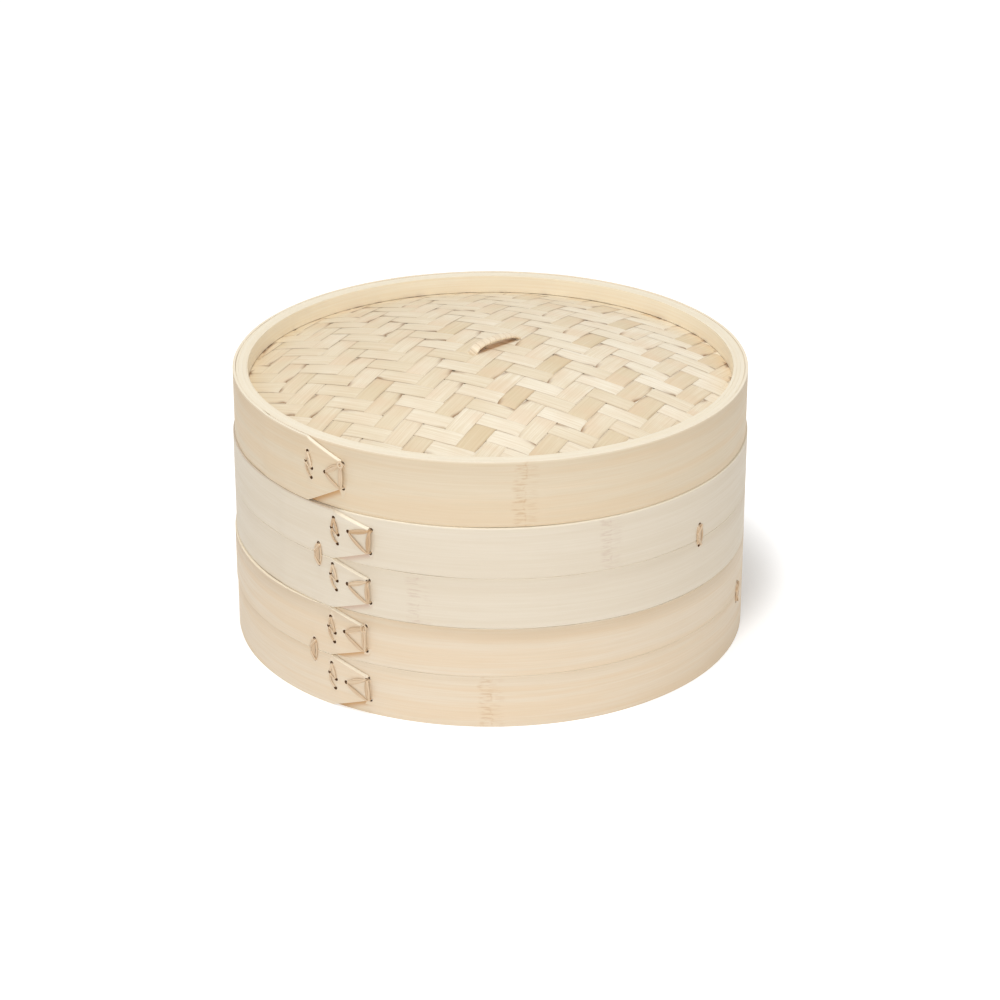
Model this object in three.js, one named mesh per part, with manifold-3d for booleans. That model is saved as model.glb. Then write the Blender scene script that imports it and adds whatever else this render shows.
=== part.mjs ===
// A two-tier bamboo steamer with a woven lid. Millimetres, +Z up.
// The origin is the centre of the circle that the lower tier stands on.
// Angles go round +Z from the front, which is -Y, towards +X.

import * as THREE from 'three';
import { mergeVertices } from 'three/addons/utils/BufferGeometryUtils.js';
import Module from 'manifold-3d';

const wasm = await Module();
wasm.setup();

// Driving dimensions of the stack
const tierRadius = 127.8;
const tierStrip = 1.6;
const lidStrip = 1.4;
const collarPlay = 0.3;
const collarHeight = 6;
const socketSpare = 0.8;
const restGap = 0.3;
const lidBandHeight = 32.55;
const tierBandHeights = {
  lower_tier: { lower: 26.5, upper: 25.35 },
  upper_tier: { lower: 25.55, upper: 25.15 },
};

// The lap of a wound strip: its hidden end is thinned, its open end is cut to a blunt point
const lapLength = 50;
const lapGap = 0.2;
const thinnedEnd = 0.4;
const thinnedLength = 25;
const rampLength = 12;
const tierPoint = { length: 19.5, halfHeight: 6.4 };
const lidPoint = { length: 19.8, halfHeight: 7.1 };
const points = {
  lid: { angle: -32.7, rise: 1.8, columnRise: 3.0 },
  upper_tier_upper: { angle: -26.0, rise: 1.0, columnRise: 2.2 },
  upper_tier_lower: { angle: -26.3, rise: 0.4, columnRise: 3.6 },
  lower_tier_upper: { angle: -27.2, rise: 0.7, columnRise: 1.4 },
  lower_tier_lower: { angle: -26.8, rise: 0.7, columnRise: 2.6 },
};

// Cane of the lacings and ties
const caneThickness = 0.5;
const caneClearance = 0.2;
const caneWidth = 1.3;
const wideCane = 2;
const linkWidth = 1;
const linkSink = 0.1;
const laceHole = 1.6;
const holeReach = 2;
const swellShares = [0.25, 0.75];
const pointHoleOffset = 0.4;
const pointHoleSpread = 6;
const pointLacingWidth = 12;
const pointLacingRise = 1.2;
const columnOffset = 20;
const columnHoles = {
  top: [-0.8, 6.4],
  left: [-2.1, 1.1],
  right: [1.7, -1.6],
  bottom: [1.2, -6.4],
};
const tieHoleSpread = 5.1;
const tieWidth = 3.2;
const tieSlant = 0.8;
const tieAngles = {
  lower_tier: [-40.5, 73.4, 148, 236],
  upper_tier: [-38.8, 51.3, 136, 224],
};

// Hoops, floor and ribs of a tier
const hoopThickness = 4.7;
const floorHoopHeight = 8;
const slatCount = 11;
const slatGap = 4.5;
const slatMargin = 0.35;
const slatThickness = 3;
const ribWidth = 10;
const ribHeight = 5;
const ribSpacing = 110;

// The lid's hoops, its mats and its handle
const lidRimWidth = 7.2;
const matDrop = 9.6;
const matCrown = 16;
const matRelief = 0.45;
const matStrip = 0.5;
const matMarginCover = 0.15;
const matMarginWidth = 3.7;
const matMarginGrip = 1.9;
const underMatThickness = 1;
const weaveTurn = 62.1;
const lengthwise = { pitch: 11.02, start: 36.1, gap: 0.95 };
const crosswise = { pitch: 10.21, start: -2, gap: 0.9 };
const weaveRamp = 0.2;
const spareStrips = 4;
const stripSpare = 1;
const backingSteps = 4;
const handleCentre = [2.3, 2.3];
const handleTurn = 44.5;
const handleSpan = 30;
const handleRise = 5.6;
const handleWidth = 5.6;
const handleThickness = 2.2;
const handleWraps = 9;
const stationsPerWrap = 3;
const wrapRelief = 0.35;
const handleTail = 3;

// Fineness of the round shapes
const hoopSegments = 54;
const hiddenSegments = 36;
const trimSegments = 24;
const handleSides = 6;
const bandStep = 6.6;
const lapStep = 3;

// Sizes that follow from the ones above
const laceRoom = caneThickness + 2 * caneClearance;
const tierInner = tierRadius - tierStrip;
const hoopOuter = tierInner - laceRoom;
const lidInner = hoopOuter + collarPlay;
const lidRadius = lidInner + lidStrip;
const socketDepth = collarHeight + socketSpare;
const matProud = matRelief + matStrip / 2;
const marginHalf = matProud + matMarginCover;
const slantLift = caneThickness / 2;

const tau = 2 * Math.PI;

function radians(degrees) {
  return degrees * tau / 360;
}

function smooth(t) {
  const x = Math.min(1, Math.max(0, t));
  return x * x * (3 - 2 * x);
}

// A point at an angle from the front, at a radius and a height
function around(angle, radius, z) {
  return new THREE.Vector3(radius * Math.sin(angle), -radius * Math.cos(angle), z);
}

function finish(name, colour, roughness) {
  return new THREE.MeshStandardMaterial({ name, color: colour, roughness, metalness: 0 });
}

const finishes = {
  warmBand: finish('warm_band', 0xe9d3ad, 0.6),
  paleBand: finish('pale_band', 0xeadfc9, 0.6),
  hoop: finish('hoop', 0xefdcb8, 0.6),
  weave: finish('weave', 0xe8d8b6, 0.55),
  backing: finish('backing', 0xc7a671, 0.8),
  cane: finish('cane', 0xcfae80, 0.5),
  slat: finish('slat', 0xe3cc9f, 0.65),
};

function piece(name, geometry, material) {
  const mesh = new THREE.Mesh(geometry, material);
  mesh.name = name;
  return mesh;
}

// Joins and cuts

function solid(geometry) {
  const bare = geometry.clone();
  bare.deleteAttribute('normal');
  bare.deleteAttribute('uv');
  const merged = mergeVertices(bare, 1e-4);
  const mesh = new wasm.Mesh({
    numProp: 3,
    vertProperties: new Float32Array(merged.attributes.position.array),
    triVerts: new Uint32Array(merged.index.array),
  });
  return new wasm.Manifold(mesh);
}

function geometryOf(manifold) {
  const mesh = manifold.getMesh();
  const geometry = new THREE.BufferGeometry();
  geometry.setAttribute('position', new THREE.BufferAttribute(mesh.vertProperties, 3));
  geometry.setIndex(new THREE.BufferAttribute(mesh.triVerts, 1));
  geometry.computeVertexNormals();
  return geometry;
}

function join(geometries) {
  return geometries.map(solid).reduce((whole, next) => whole.add(next));
}

// The join of several shapes as one geometry, with the flat faces that now meet merged
function fused(geometries) {
  return geometryOf(join(geometries).asOriginal());
}

function cut(geometry, cutters) {
  return geometryOf(solid(geometry).subtract(join(cutters)));
}

// The side faces of a loft. All sections have the same number of points, anticlockwise as seen
// looking back along the path.
function loftSides(rows, count, rowTotal) {
  const faces = [];
  for (let row = 0; row < rows; row += 1) {
    const above = (row + 1) % rowTotal;
    for (let k = 0; k < count; k += 1) {
      const next = (k + 1) % count;
      const a = row * count + k;
      const b = row * count + next;
      const c = above * count + next;
      const d = above * count + k;
      faces.push(a, b, c, a, c, d);
    }
  }
  return faces;
}

// A loft with both ends capped by a fan
function loft(sections) {
  const count = sections[0].length;
  const faces = loftSides(sections.length - 1, count, sections.length);
  const last = (sections.length - 1) * count;
  for (let k = 1; k + 1 < count; k += 1) {
    faces.push(0, k + 1, k);
    faces.push(last, last + k, last + k + 1);
  }
  return loftGeometry(sections, faces);
}

// A loft whose last section joins its first
function closedLoft(sections) {
  return loftGeometry(sections, loftSides(sections.length, sections[0].length, sections.length));
}

function loftGeometry(sections, faces) {
  const positions = sections.flat().flatMap((point) => point.toArray());
  const geometry = new THREE.BufferGeometry();
  geometry.setAttribute('position', new THREE.Float32BufferAttribute(positions, 3));
  geometry.setIndex(faces);
  geometry.computeVertexNormals();
  return geometry;
}

// A turned ring whose closed profile is a list of [radius, height]
function ring(profile, segments = hoopSegments) {
  const closed = [...profile, profile[0]].map(([r, z]) => new THREE.Vector2(r, z));
  const geometry = new THREE.LatheGeometry(closed, segments);
  geometry.rotateX(tau / 4);
  return geometry;
}

// A box between two points of the tangent plane at the front: each point is [along, height], and
// the box fills the radii from inner to outer
function strand(from, to, inner, outer, width) {
  const along = to[0] - from[0];
  const up = to[1] - from[1];
  const length = Math.hypot(along, up) + width / 2;
  const box = new THREE.BoxGeometry(length, outer - inner, width);
  box.rotateY(-Math.atan2(up, along));
  const middle = [(from[0] + to[0]) / 2, (from[1] + to[1]) / 2];
  box.translate(middle[0], -(inner + outer) / 2, middle[1]);
  return box;
}

// A square hole along the radius
function radialHole(angle, along, z, inner, outer) {
  const hole = new THREE.BoxGeometry(laceHole, outer - inner, laceHole);
  hole.translate(along, -(inner + outer) / 2, z);
  hole.rotateZ(angle);
  return hole;
}

// Wound bands

// How a strip winds: it starts thinned on the inside, goes round once, climbs over its own start
// and ends on the outside. Angles along it run on past a full turn.
function winding(innerRadius, thickness, mark) {
  const lap = lapLength / innerRadius;
  const ramp = rampLength / innerRadius;
  const end = radians(mark.angle);
  const start = end - lap - tau;
  const thicknessAt = (angle) => {
    const along = (angle - start) * innerRadius;
    return thinnedEnd + (thickness - thinnedEnd) * smooth(along / thinnedLength);
  };
  const innerAt = (angle) => {
    const onStart = angle - tau;
    if (onStart >= start) return innerRadius + thicknessAt(onStart) + lapGap;
    return innerRadius + (thinnedEnd + lapGap) * smooth((onStart - start + ramp) / ramp);
  };
  const outerAt = (angle) => {
    const last = angle - tau * Math.ceil((angle - end) / tau);
    return innerAt(last) + thicknessAt(last);
  };
  return { start, end, lap, ramp, thicknessAt, innerAt, outerAt };
}

// The strip of a band, its outer end cut to a blunt point
function woundStrip(innerRadius, thickness, height, mark, point) {
  const { start, end, lap, ramp, thicknessAt, innerAt } = winding(innerRadius, thickness, mark);
  const pointStart = end - point.length / innerRadius;
  const lacingReach = (pointHoleOffset + laceHole) / innerRadius;
  const stretch = (from, to, step) => {
    const count = Math.ceil((to - from) / radians(step));
    return Array.from({ length: count }, (_, k) => from + (to - from) * k / count);
  };
  const angles = [
    ...stretch(start, start + lap + lacingReach, lapStep),
    ...stretch(start + lap + lacingReach, start + tau - ramp, bandStep),
    ...stretch(start + tau - ramp, start + tau, lapStep),
    ...stretch(start + tau, pointStart, lapStep),
    ...stretch(pointStart, end, lapStep),
    end,
  ];
  const middle = height / 2 + mark.rise;
  const sections = angles.map((angle) => {
    const inner = innerAt(angle);
    const outer = inner + thicknessAt(angle);
    const taper = Math.max(0, (angle - pointStart) / (end - pointStart));
    const low = taper * (middle - point.halfHeight);
    const high = height + taper * (middle + point.halfHeight - height);
    return [
      around(angle, inner, low),
      around(angle, inner, high),
      around(angle, outer, high),
      around(angle, outer, low),
    ];
  });
  return loft(sections);
}

// The angle and holes of a band's two lacings, as [along, height] on the strip
function lacingPlan(innerRadius, thickness, height, mark) {
  const outer = innerRadius + 2 * thickness + lapGap;
  const pointHeight = height / 2 + mark.rise;
  const columnHeight = height / 2 + mark.columnRise;
  const pointAngle = radians(mark.angle) + (pointHoleOffset - pointLacingWidth / 2) / outer;
  const columnAngle = radians(mark.angle) + (pointHoleOffset - columnOffset) / outer;
  const side = pointLacingWidth / 2;
  const column = {};
  for (const [key, [along, up]] of Object.entries(columnHoles)) {
    column[key] = [along, columnHeight + up];
  }
  return {
    outer,
    innerRadius,
    pointAngle,
    columnAngle,
    point: {
      left: [-side, pointHeight + pointLacingRise],
      top: [side, pointHeight + pointHoleSpread],
      bottom: [side, pointHeight - pointHoleSpread],
    },
    column,
  };
}

function lacingHoles(plan) {
  const holes = (angle, marks) => Object.values(marks).map(([along, z]) => (
    radialHole(angle, along, z, plan.innerRadius - holeReach, plan.outer + holeReach)
  ));
  return [...holes(plan.pointAngle, plan.point), ...holes(plan.columnAngle, plan.column)];
}

// A closed loop of flat cane through two holes in the tangent plane at the front. Between the
// holes its outer run may swell to a greater width.
function caneLoop(from, to, back, front, swell = caneWidth) {
  const span = new THREE.Vector2(to[0] - from[0], to[1] - from[1]);
  const length = span.length();
  const along = span.clone().normalize();
  const half = caneThickness / 2;
  const turn = (share, radius, out, on, width) => {
    const corners = [[-1, -1], [-1, 1], [1, 1], [1, -1]];
    return corners.map(([side, level]) => {
      const distance = share * length + level * on * half;
      const x = from[0] + along.x * distance + along.y * side * width / 2;
      const z = from[1] + along.y * distance - along.x * side * width / 2;
      return new THREE.Vector3(x, -radius - level * out * half, z);
    });
  };
  const inside = back - half;
  const outside = front + half;
  const middle = swell === caneWidth ? [] : swellShares;
  return closedLoft([
    turn(1, inside, -1, 1, caneWidth),
    turn(0, inside, -1, -1, caneWidth),
    turn(0, outside, 1, -1, caneWidth),
    ...middle.map((share) => turn(share, outside, 1, 0, swell)),
    turn(1, outside, 1, 1, caneWidth),
  ]);
}

// Cane laced through the holes of a plan: each run is [from, to, width of its outer strand], and
// a link is one more strand between two holes, outside only
function lacing(plan, angle, marks, runs, link = []) {
  const front = plan.outer + caneClearance;
  const back = plan.innerRadius - caneClearance;
  const loops = runs.map(([from, to, swell]) => (
    caneLoop(marks[from], marks[to], back, front, swell)
  ));
  if (link.length) {
    const [from, to] = link.map((mark) => marks[mark]);
    loops.push(strand(from, to, front + linkSink, front + caneThickness, linkWidth));
  }
  const cane = fused(loops);
  cane.rotateZ(angle);
  return cane;
}

function pointLacing(plan) {
  return lacing(plan, plan.pointAngle, plan.point, [
    ['left', 'top', wideCane],
    ['top', 'bottom', wideCane],
  ], ['left', 'bottom']);
}

function columnLacing(plan) {
  return lacing(plan, plan.columnAngle, plan.column, [
    ['top', 'right', caneWidth],
    ['left', 'bottom', caneWidth],
  ], ['left', 'right']);
}

// Tiers

function tieHoles(angles, seam, inner, outer) {
  return angles.flatMap((angle) => [seam - tieHoleSpread, seam + tieHoleSpread].map((z) => (
    radialHole(radians(angle), 0, z, inner, outer)
  )));
}

// A seam tie: a loop of cane through two holes, swollen where its wraps spread outside, with one
// more strand laid slanting across them
function seamTie(angle, seam, inner, outer) {
  const face = outer + caneClearance;
  const low = [0, seam - tieHoleSpread];
  const high = [0, seam + tieHoleSpread];
  const loop = caneLoop(low, high, inner - caneClearance, face, tieWidth);
  const slant = strand(
    [-tieSlant, seam - tieHoleSpread / 2],
    [tieSlant, seam + tieHoleSpread / 2],
    face + slantLift,
    face + slantLift + caneThickness,
    caneWidth,
  );
  const tie = fused([loop, slant]);
  tie.rotateZ(radians(angle));
  return tie;
}

// A flat slat with its ends cut to the circle that it lies in
function slat(offset, width, endRadius) {
  const near = offset - width / 2;
  const far = offset + width / 2;
  const angleOf = (y) => Math.asin(y / endRadius);
  const shape = new THREE.Shape();
  shape.absarc(0, 0, endRadius, angleOf(near), angleOf(far), false);
  shape.absarc(0, 0, endRadius, Math.PI - angleOf(far), Math.PI - angleOf(near), false);
  return new THREE.ExtrudeGeometry(shape, {
    depth: slatThickness,
    bevelEnabled: false,
    curveSegments: 2,
  });
}

function tier(name, material) {
  const heights = tierBandHeights[name];
  const seam = heights.lower + restGap / 2;
  const upperStart = heights.lower + restGap;
  const top = upperStart + heights.upper;
  const hoopInner = hoopOuter - hoopThickness;
  const floorTop = socketDepth + floorHoopHeight;
  const slatStart = floorTop + restGap;
  const hoopStart = slatStart + slatThickness + restGap;
  const group = new THREE.Group();
  const marks = ['lower', 'upper'].map((level) => points[`${name}_${level}`]);
  const windings = marks.map((mark) => winding(tierInner, tierStrip, mark));
  const tieReach = tierInner + 2 * tierStrip + lapGap + caneThickness;

  for (const [level, height, start] of [
    ['lower', heights.lower, 0],
    ['upper', heights.upper, upperStart],
  ]) {
    const mark = points[`${name}_${level}`];
    const plan = lacingPlan(tierInner, tierStrip, height, mark);
    const strip = woundStrip(tierInner, tierStrip, height, mark, tierPoint);
    const ties = tieHoles(tieAngles[name], seam - start, hoopOuter, tieReach);
    const cutters = [...lacingHoles(plan), ...ties];
    const band = piece(`${name}_${level}_band`, cut(strip, cutters), material);
    const pointCane = piece(`${name}_${level}_point_lacing`, pointLacing(plan), finishes.cane);
    const columnCane = piece(`${name}_${level}_column_lacing`, columnLacing(plan), finishes.cane);
    for (const mesh of [band, pointCane, columnCane]) mesh.position.z = start;
    group.add(band, pointCane, columnCane);
  }

  const hoop = ring([
    [hoopInner, hoopStart],
    [hoopOuter, hoopStart],
    [hoopOuter, top + collarHeight],
    [hoopInner, top + collarHeight],
  ]);
  const hoopHoles = tieHoles(tieAngles[name], seam, hoopInner - caneThickness, tierInner);
  group.add(piece(`${name}_inner_hoop`, cut(hoop, hoopHoles), finishes.hoop));
  tieAngles[name].forEach((angle, k) => {
    const outer = Math.max(...windings.map((wound) => wound.outerAt(radians(angle))));
    const tie = seamTie(angle, seam, hoopInner, outer);
    group.add(piece(`${name}_seam_tie_${k + 1}`, tie, finishes.cane));
  });

  const floorRing = ring([
    [hoopInner, socketDepth],
    [hoopOuter, socketDepth],
    [hoopOuter, floorTop],
    [hoopInner, floorTop],
  ], hiddenSegments);
  const ribEnd = hoopOuter - restGap;
  const ribLength = 2 * Math.sqrt(ribEnd ** 2 - (ribSpacing / 2 + ribWidth / 2) ** 2);
  const ribStart = floorTop - ribHeight;
  const notchLength = 2 * tierRadius;
  const notches = [];
  for (const side of [-1, 1]) {
    const x = side * ribSpacing / 2;
    const rib = new THREE.BoxGeometry(ribWidth, ribLength, ribHeight);
    rib.translate(x, 0, ribStart + ribHeight / 2);
    group.add(piece(`${name}_rib_${side < 0 ? 1 : 2}`, rib, finishes.slat));
    const notchHeight = ribHeight + 2 * restGap;
    const notch = new THREE.BoxGeometry(ribWidth + 2 * restGap, notchLength, notchHeight);
    notch.translate(x, 0, ribStart - restGap + notchHeight / 2);
    notches.push(notch);
  }
  group.add(piece(`${name}_floor_hoop`, cut(floorRing, notches), finishes.hoop));

  const slatEnd = hoopOuter - restGap;
  const pitch = (2 * slatEnd + slatGap) / (slatCount + slatMargin);
  for (let k = 0; k < slatCount; k += 1) {
    const offset = (k - (slatCount - 1) / 2) * pitch;
    const board = slat(offset, pitch - slatGap, slatEnd);
    board.translate(0, 0, slatStart);
    group.add(piece(`${name}_slat_${k + 1}`, board, finishes.slat));
  }
  return { group, top };
}

// The woven top of the lid

// The middle surface of the lid's dome above the mat's edge
function domeHeight(x, y, edgeRadius) {
  return matCrown * (1 - (x * x + y * y) / (edgeRadius * edgeRadius));
}

// A 2/2 twill: each strip passes over two and under two, and its neighbour is one step along.
// The strips of a family are numbered from their start value, and so are the crossings.
function lengthwiseOver(strip, crossing) {
  const phase = (((strip + crossing) % 4) + 4) % 4;
  return phase === 0 || phase === 3;
}

// One strip along a direction, at an offset to the right of it. It changes height at the
// crossings where it turns from over to under or back.
function weaveStrip(direction, across, offset, width, half, crossings, isOver, surface) {
  const stations = [];
  const height = (over) => (over ? matRelief : -matRelief);
  const inside = crossings.filter((edge) => Math.abs(edge.at) < half);
  let last = isOver(inside.length ? inside[0].before : crossings[0].before);
  stations.push([-half, height(last)]);
  for (const edge of inside) {
    const next = isOver(edge.after);
    if (next !== last) {
      stations.push([edge.at - edge.ramp, height(last)]);
      stations.push([edge.at + edge.ramp, height(next)]);
    }
    last = next;
  }
  stations.push([half, height(last)]);
  const corner = (u, side, z) => {
    const v = offset + side * width / 2;
    const x = direction.x * u + across.x * v;
    const y = direction.y * u + across.y * v;
    return new THREE.Vector3(x, y, surface(x, y) + z);
  };
  return loft(stations.map(([u, z]) => [
    corner(u, 1, z - matStrip / 2),
    corner(u, -1, z - matStrip / 2),
    corner(u, -1, z + matStrip / 2),
    corner(u, 1, z + matStrip / 2),
  ]));
}

function wovenMat(edgeRadius, marginOuter) {
  const turn = radians(weaveTurn);
  const a = new THREE.Vector2(Math.cos(turn), Math.sin(turn));
  const b = new THREE.Vector2(Math.sin(turn), -Math.cos(turn));
  const left = a.clone().negate();
  const surface = (x, y) => domeHeight(x, y, edgeRadius);
  const reach = marginOuter - matMarginWidth + matMarginGrip;
  const lastIndex = Math.ceil(reach / crosswise.pitch) + spareStrips;
  const indices = Array.from({ length: 2 * lastIndex + 1 }, (_, k) => k - lastIndex);
  const strips = [];
  // Crossings seen from a strip: at each boundary, the number of the strip before and after it
  const boundaries = (family, shift, ramp) => indices.map((m) => ({
    at: family.start + family.pitch * (m + shift),
    before: m - 1,
    after: m,
    ramp,
  }));
  const crossEdges = boundaries(crosswise, 0, crosswise.gap * weaveRamp + crosswise.gap / 2);
  const lengthEdges = boundaries(lengthwise, -0.5, lengthwise.gap * weaveRamp + lengthwise.gap / 2);
  const addStrip = (direction, across, offset, family, edges, isOver) => {
    const width = family.pitch - family.gap;
    const nearest = Math.max(0, Math.abs(offset) - width / 2);
    if (nearest > edgeRadius - matStrip) return;
    const half = Math.sqrt(reach * reach - nearest * nearest) + stripSpare;
    strips.push(weaveStrip(direction, across, offset, width, half, edges, isOver, surface));
  };
  for (const k of indices) {
    const lengthOffset = lengthwise.start + lengthwise.pitch * k;
    addStrip(a, b, lengthOffset, lengthwise, crossEdges, (m) => lengthwiseOver(k, m));
    const crossOffset = crosswise.start + crosswise.pitch * (k + 0.5);
    addStrip(b, left, -crossOffset, crosswise, lengthEdges, (m) => !lengthwiseOver(m, k));
  }
  const trimHeight = 4 * matCrown;
  const trim = new THREE.CylinderGeometry(reach, reach, trimHeight, trimSegments);
  trim.rotateX(tau / 4);
  const margin = marginOuter - matMarginWidth;
  const marginRing = ring([
    [margin, surface(margin, 0) - marginHalf],
    [marginOuter, surface(marginOuter, 0) - marginHalf],
    [marginOuter, surface(marginOuter, 0) + marginHalf],
    [margin, surface(margin, 0) + marginHalf],
  ], hiddenSegments);
  return join(strips).intersect(solid(trim)).add(solid(marginRing));
}

// The plain backing follows the dome below the woven strips
function backingMat(edgeRadius, outerRadius, drop) {
  const radii = Array.from({ length: backingSteps + 1 }, (_, k) => outerRadius * k / backingSteps);
  const top = radii.map((r) => new THREE.Vector2(r, domeHeight(r, 0, edgeRadius) - drop));
  const under = top.map((point) => new THREE.Vector2(point.x, point.y - underMatThickness));
  const geometry = new THREE.LatheGeometry([...under, ...top.reverse()], hiddenSegments);
  geometry.rotateX(tau / 4);
  return geometry;
}

// The handle: a flat arch with cane wound round it, whose two tails go down through the mats
function handleArch(footDrop) {
  const turn = radians(handleTurn);
  const along = new THREE.Vector3(Math.cos(turn), Math.sin(turn), 0);
  const across = new THREE.Vector3(-Math.sin(turn), Math.cos(turn), 0);
  const up = new THREE.Vector3(0, 0, 1);
  const centre = new THREE.Vector3(handleCentre[0], handleCentre[1], 0);
  const reach = handleSpan / 2;
  const rise = handleRise - handleThickness / 2;
  const steps = handleWraps * stationsPerWrap;
  const path = [[-reach, -footDrop, 0]];
  for (let k = 0; k <= steps; k += 1) {
    const angle = Math.PI * k / steps;
    const proud = k % stationsPerWrap === 0 ? 0 : 1;
    path.push([-reach * Math.cos(angle), rise * Math.sin(angle), proud]);
  }
  path.push([reach, -footDrop, 0]);
  const sections = path.map(([u, z, proud], k) => {
    const before = path[Math.max(0, k - 1)];
    const after = path[Math.min(path.length - 1, k + 1)];
    const forward = along.clone().multiplyScalar(after[0] - before[0]);
    forward.addScaledVector(up, after[1] - before[1]).normalize();
    const outward = forward.clone().cross(across).normalize();
    return Array.from({ length: handleSides }, (_, n) => {
      const angle = tau * (n + 0.5) / handleSides;
      const wide = handleWidth / 2 - (1 - proud) * wrapRelief;
      const thick = handleThickness / 2 - (1 - proud) * wrapRelief;
      const point = centre.clone().addScaledVector(along, u).addScaledVector(up, z);
      point.addScaledVector(across, wide * Math.cos(angle));
      point.addScaledVector(outward, thick * Math.sin(angle));
      return point;
    });
  });
  return loft(sections);
}

function footHoles(depth) {
  const turn = radians(handleTurn);
  return [-1, 1].map((side) => {
    const hole = new THREE.BoxGeometry(
      handleThickness + 2 * restGap,
      handleWidth + 2 * restGap,
      depth,
    );
    hole.translate(side * handleSpan / 2, 0, 0);
    hole.rotateZ(turn);
    hole.translate(handleCentre[0], handleCentre[1], matCrown);
    return hole;
  });
}

function lid() {
  const group = new THREE.Group();
  const mark = points.lid;
  const plan = lacingPlan(lidInner, lidStrip, lidBandHeight, mark);
  const strip = woundStrip(lidInner, lidStrip, lidBandHeight, mark, lidPoint);
  group.add(piece('lid_outer_band', cut(strip, lacingHoles(plan)), finishes.warmBand));
  group.add(piece('lid_point_lacing', pointLacing(plan), finishes.cane));
  group.add(piece('lid_column_lacing', columnLacing(plan), finishes.cane));

  const edgeRadius = lidRadius - lidRimWidth;
  const clampOuter = lidInner - laceRoom;
  const marginOuter = clampOuter - restGap;
  const edgeHeight = lidBandHeight - matDrop;
  const backingDrop = marginHalf + restGap;
  const topHoopStart = edgeHeight + matProud + restGap;
  const laceTop = lidBandHeight / 2 + mark.columnRise + columnHoles.top[1] + caneWidth;
  group.add(piece('lid_top_hoop', ring([
    [edgeRadius, topHoopStart],
    [clampOuter, topHoopStart],
    [clampOuter, laceTop],
    [lidInner - restGap, laceTop],
    [lidInner - restGap, lidBandHeight],
    [edgeRadius, lidBandHeight],
  ]), finishes.hoop));

  const backingEdge = domeHeight(marginOuter, 0, edgeRadius) - backingDrop - underMatThickness;
  const lowerHoopTop = edgeHeight + backingEdge - restGap;
  group.add(piece('lid_lower_hoop', ring([
    [edgeRadius, socketDepth],
    [clampOuter, socketDepth],
    [clampOuter, lowerHoopTop],
    [edgeRadius, lowerHoopTop],
  ], hiddenSegments), finishes.hoop));

  const footDrop = backingDrop + underMatThickness + handleTail;
  const holes = footHoles(2 * footDrop);
  const weave = geometryOf(wovenMat(edgeRadius, marginOuter).subtract(join(holes)));
  const backing = cut(backingMat(edgeRadius, marginOuter, backingDrop), holes);
  const handle = handleArch(footDrop);
  handle.translate(0, 0, matCrown);
  const raised = [
    piece('lid_woven_top', weave, finishes.weave),
    piece('lid_backing_mat', backing, finishes.backing),
    piece('lid_handle', handle, finishes.cane),
  ];
  for (const mesh of raised) mesh.position.z = edgeHeight;
  group.add(...raised);
  return group;
}

const steamer = new THREE.Group();
const lowerTier = tier('lower_tier', finishes.warmBand);
const upperTier = tier('upper_tier', finishes.paleBand);
const lidGroup = lid();
upperTier.group.position.z = lowerTier.top + restGap;
lidGroup.position.z = upperTier.group.position.z + upperTier.top + restGap;
steamer.add(lowerTier.group, upperTier.group, lidGroup);

export default steamer;
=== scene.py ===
# Dresses a two-tier bamboo steamer over its packed frame: wound bands laced with cane, hoops,
# slatted floors and a woven lid. Lengths are in metres. Angles go round +Z from the front, which
# is -Y, towards +X.

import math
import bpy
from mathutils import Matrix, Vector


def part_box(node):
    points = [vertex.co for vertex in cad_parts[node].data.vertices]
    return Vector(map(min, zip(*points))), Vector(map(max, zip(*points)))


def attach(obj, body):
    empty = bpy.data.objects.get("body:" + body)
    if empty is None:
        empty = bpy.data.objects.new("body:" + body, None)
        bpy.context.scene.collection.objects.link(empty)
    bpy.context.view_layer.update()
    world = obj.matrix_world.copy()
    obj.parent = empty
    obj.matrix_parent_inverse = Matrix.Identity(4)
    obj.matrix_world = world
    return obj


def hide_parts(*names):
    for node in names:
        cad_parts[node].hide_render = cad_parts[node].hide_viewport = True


bl_info = {
    "name": "Bamboo Steamer",
    "version": (1, 0, 0),
    "blender": (4, 5, 0),
    "location": "3D View > Sidebar > Steamer",
    "description": "Builds the bands, hoops, floors, cane and woven lid of a bamboo steamer",
    "category": "Add Mesh",
}

import bpy
import numpy as np

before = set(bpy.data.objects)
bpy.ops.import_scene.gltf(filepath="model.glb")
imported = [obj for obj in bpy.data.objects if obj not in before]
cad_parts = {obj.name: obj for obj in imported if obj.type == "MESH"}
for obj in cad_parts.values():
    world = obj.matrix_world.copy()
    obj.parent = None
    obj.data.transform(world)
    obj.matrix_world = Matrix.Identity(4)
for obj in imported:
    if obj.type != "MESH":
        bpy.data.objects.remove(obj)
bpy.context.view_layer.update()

TAU = 2 * math.pi
MM = 0.001
IN_MM = 1000.0

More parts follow.
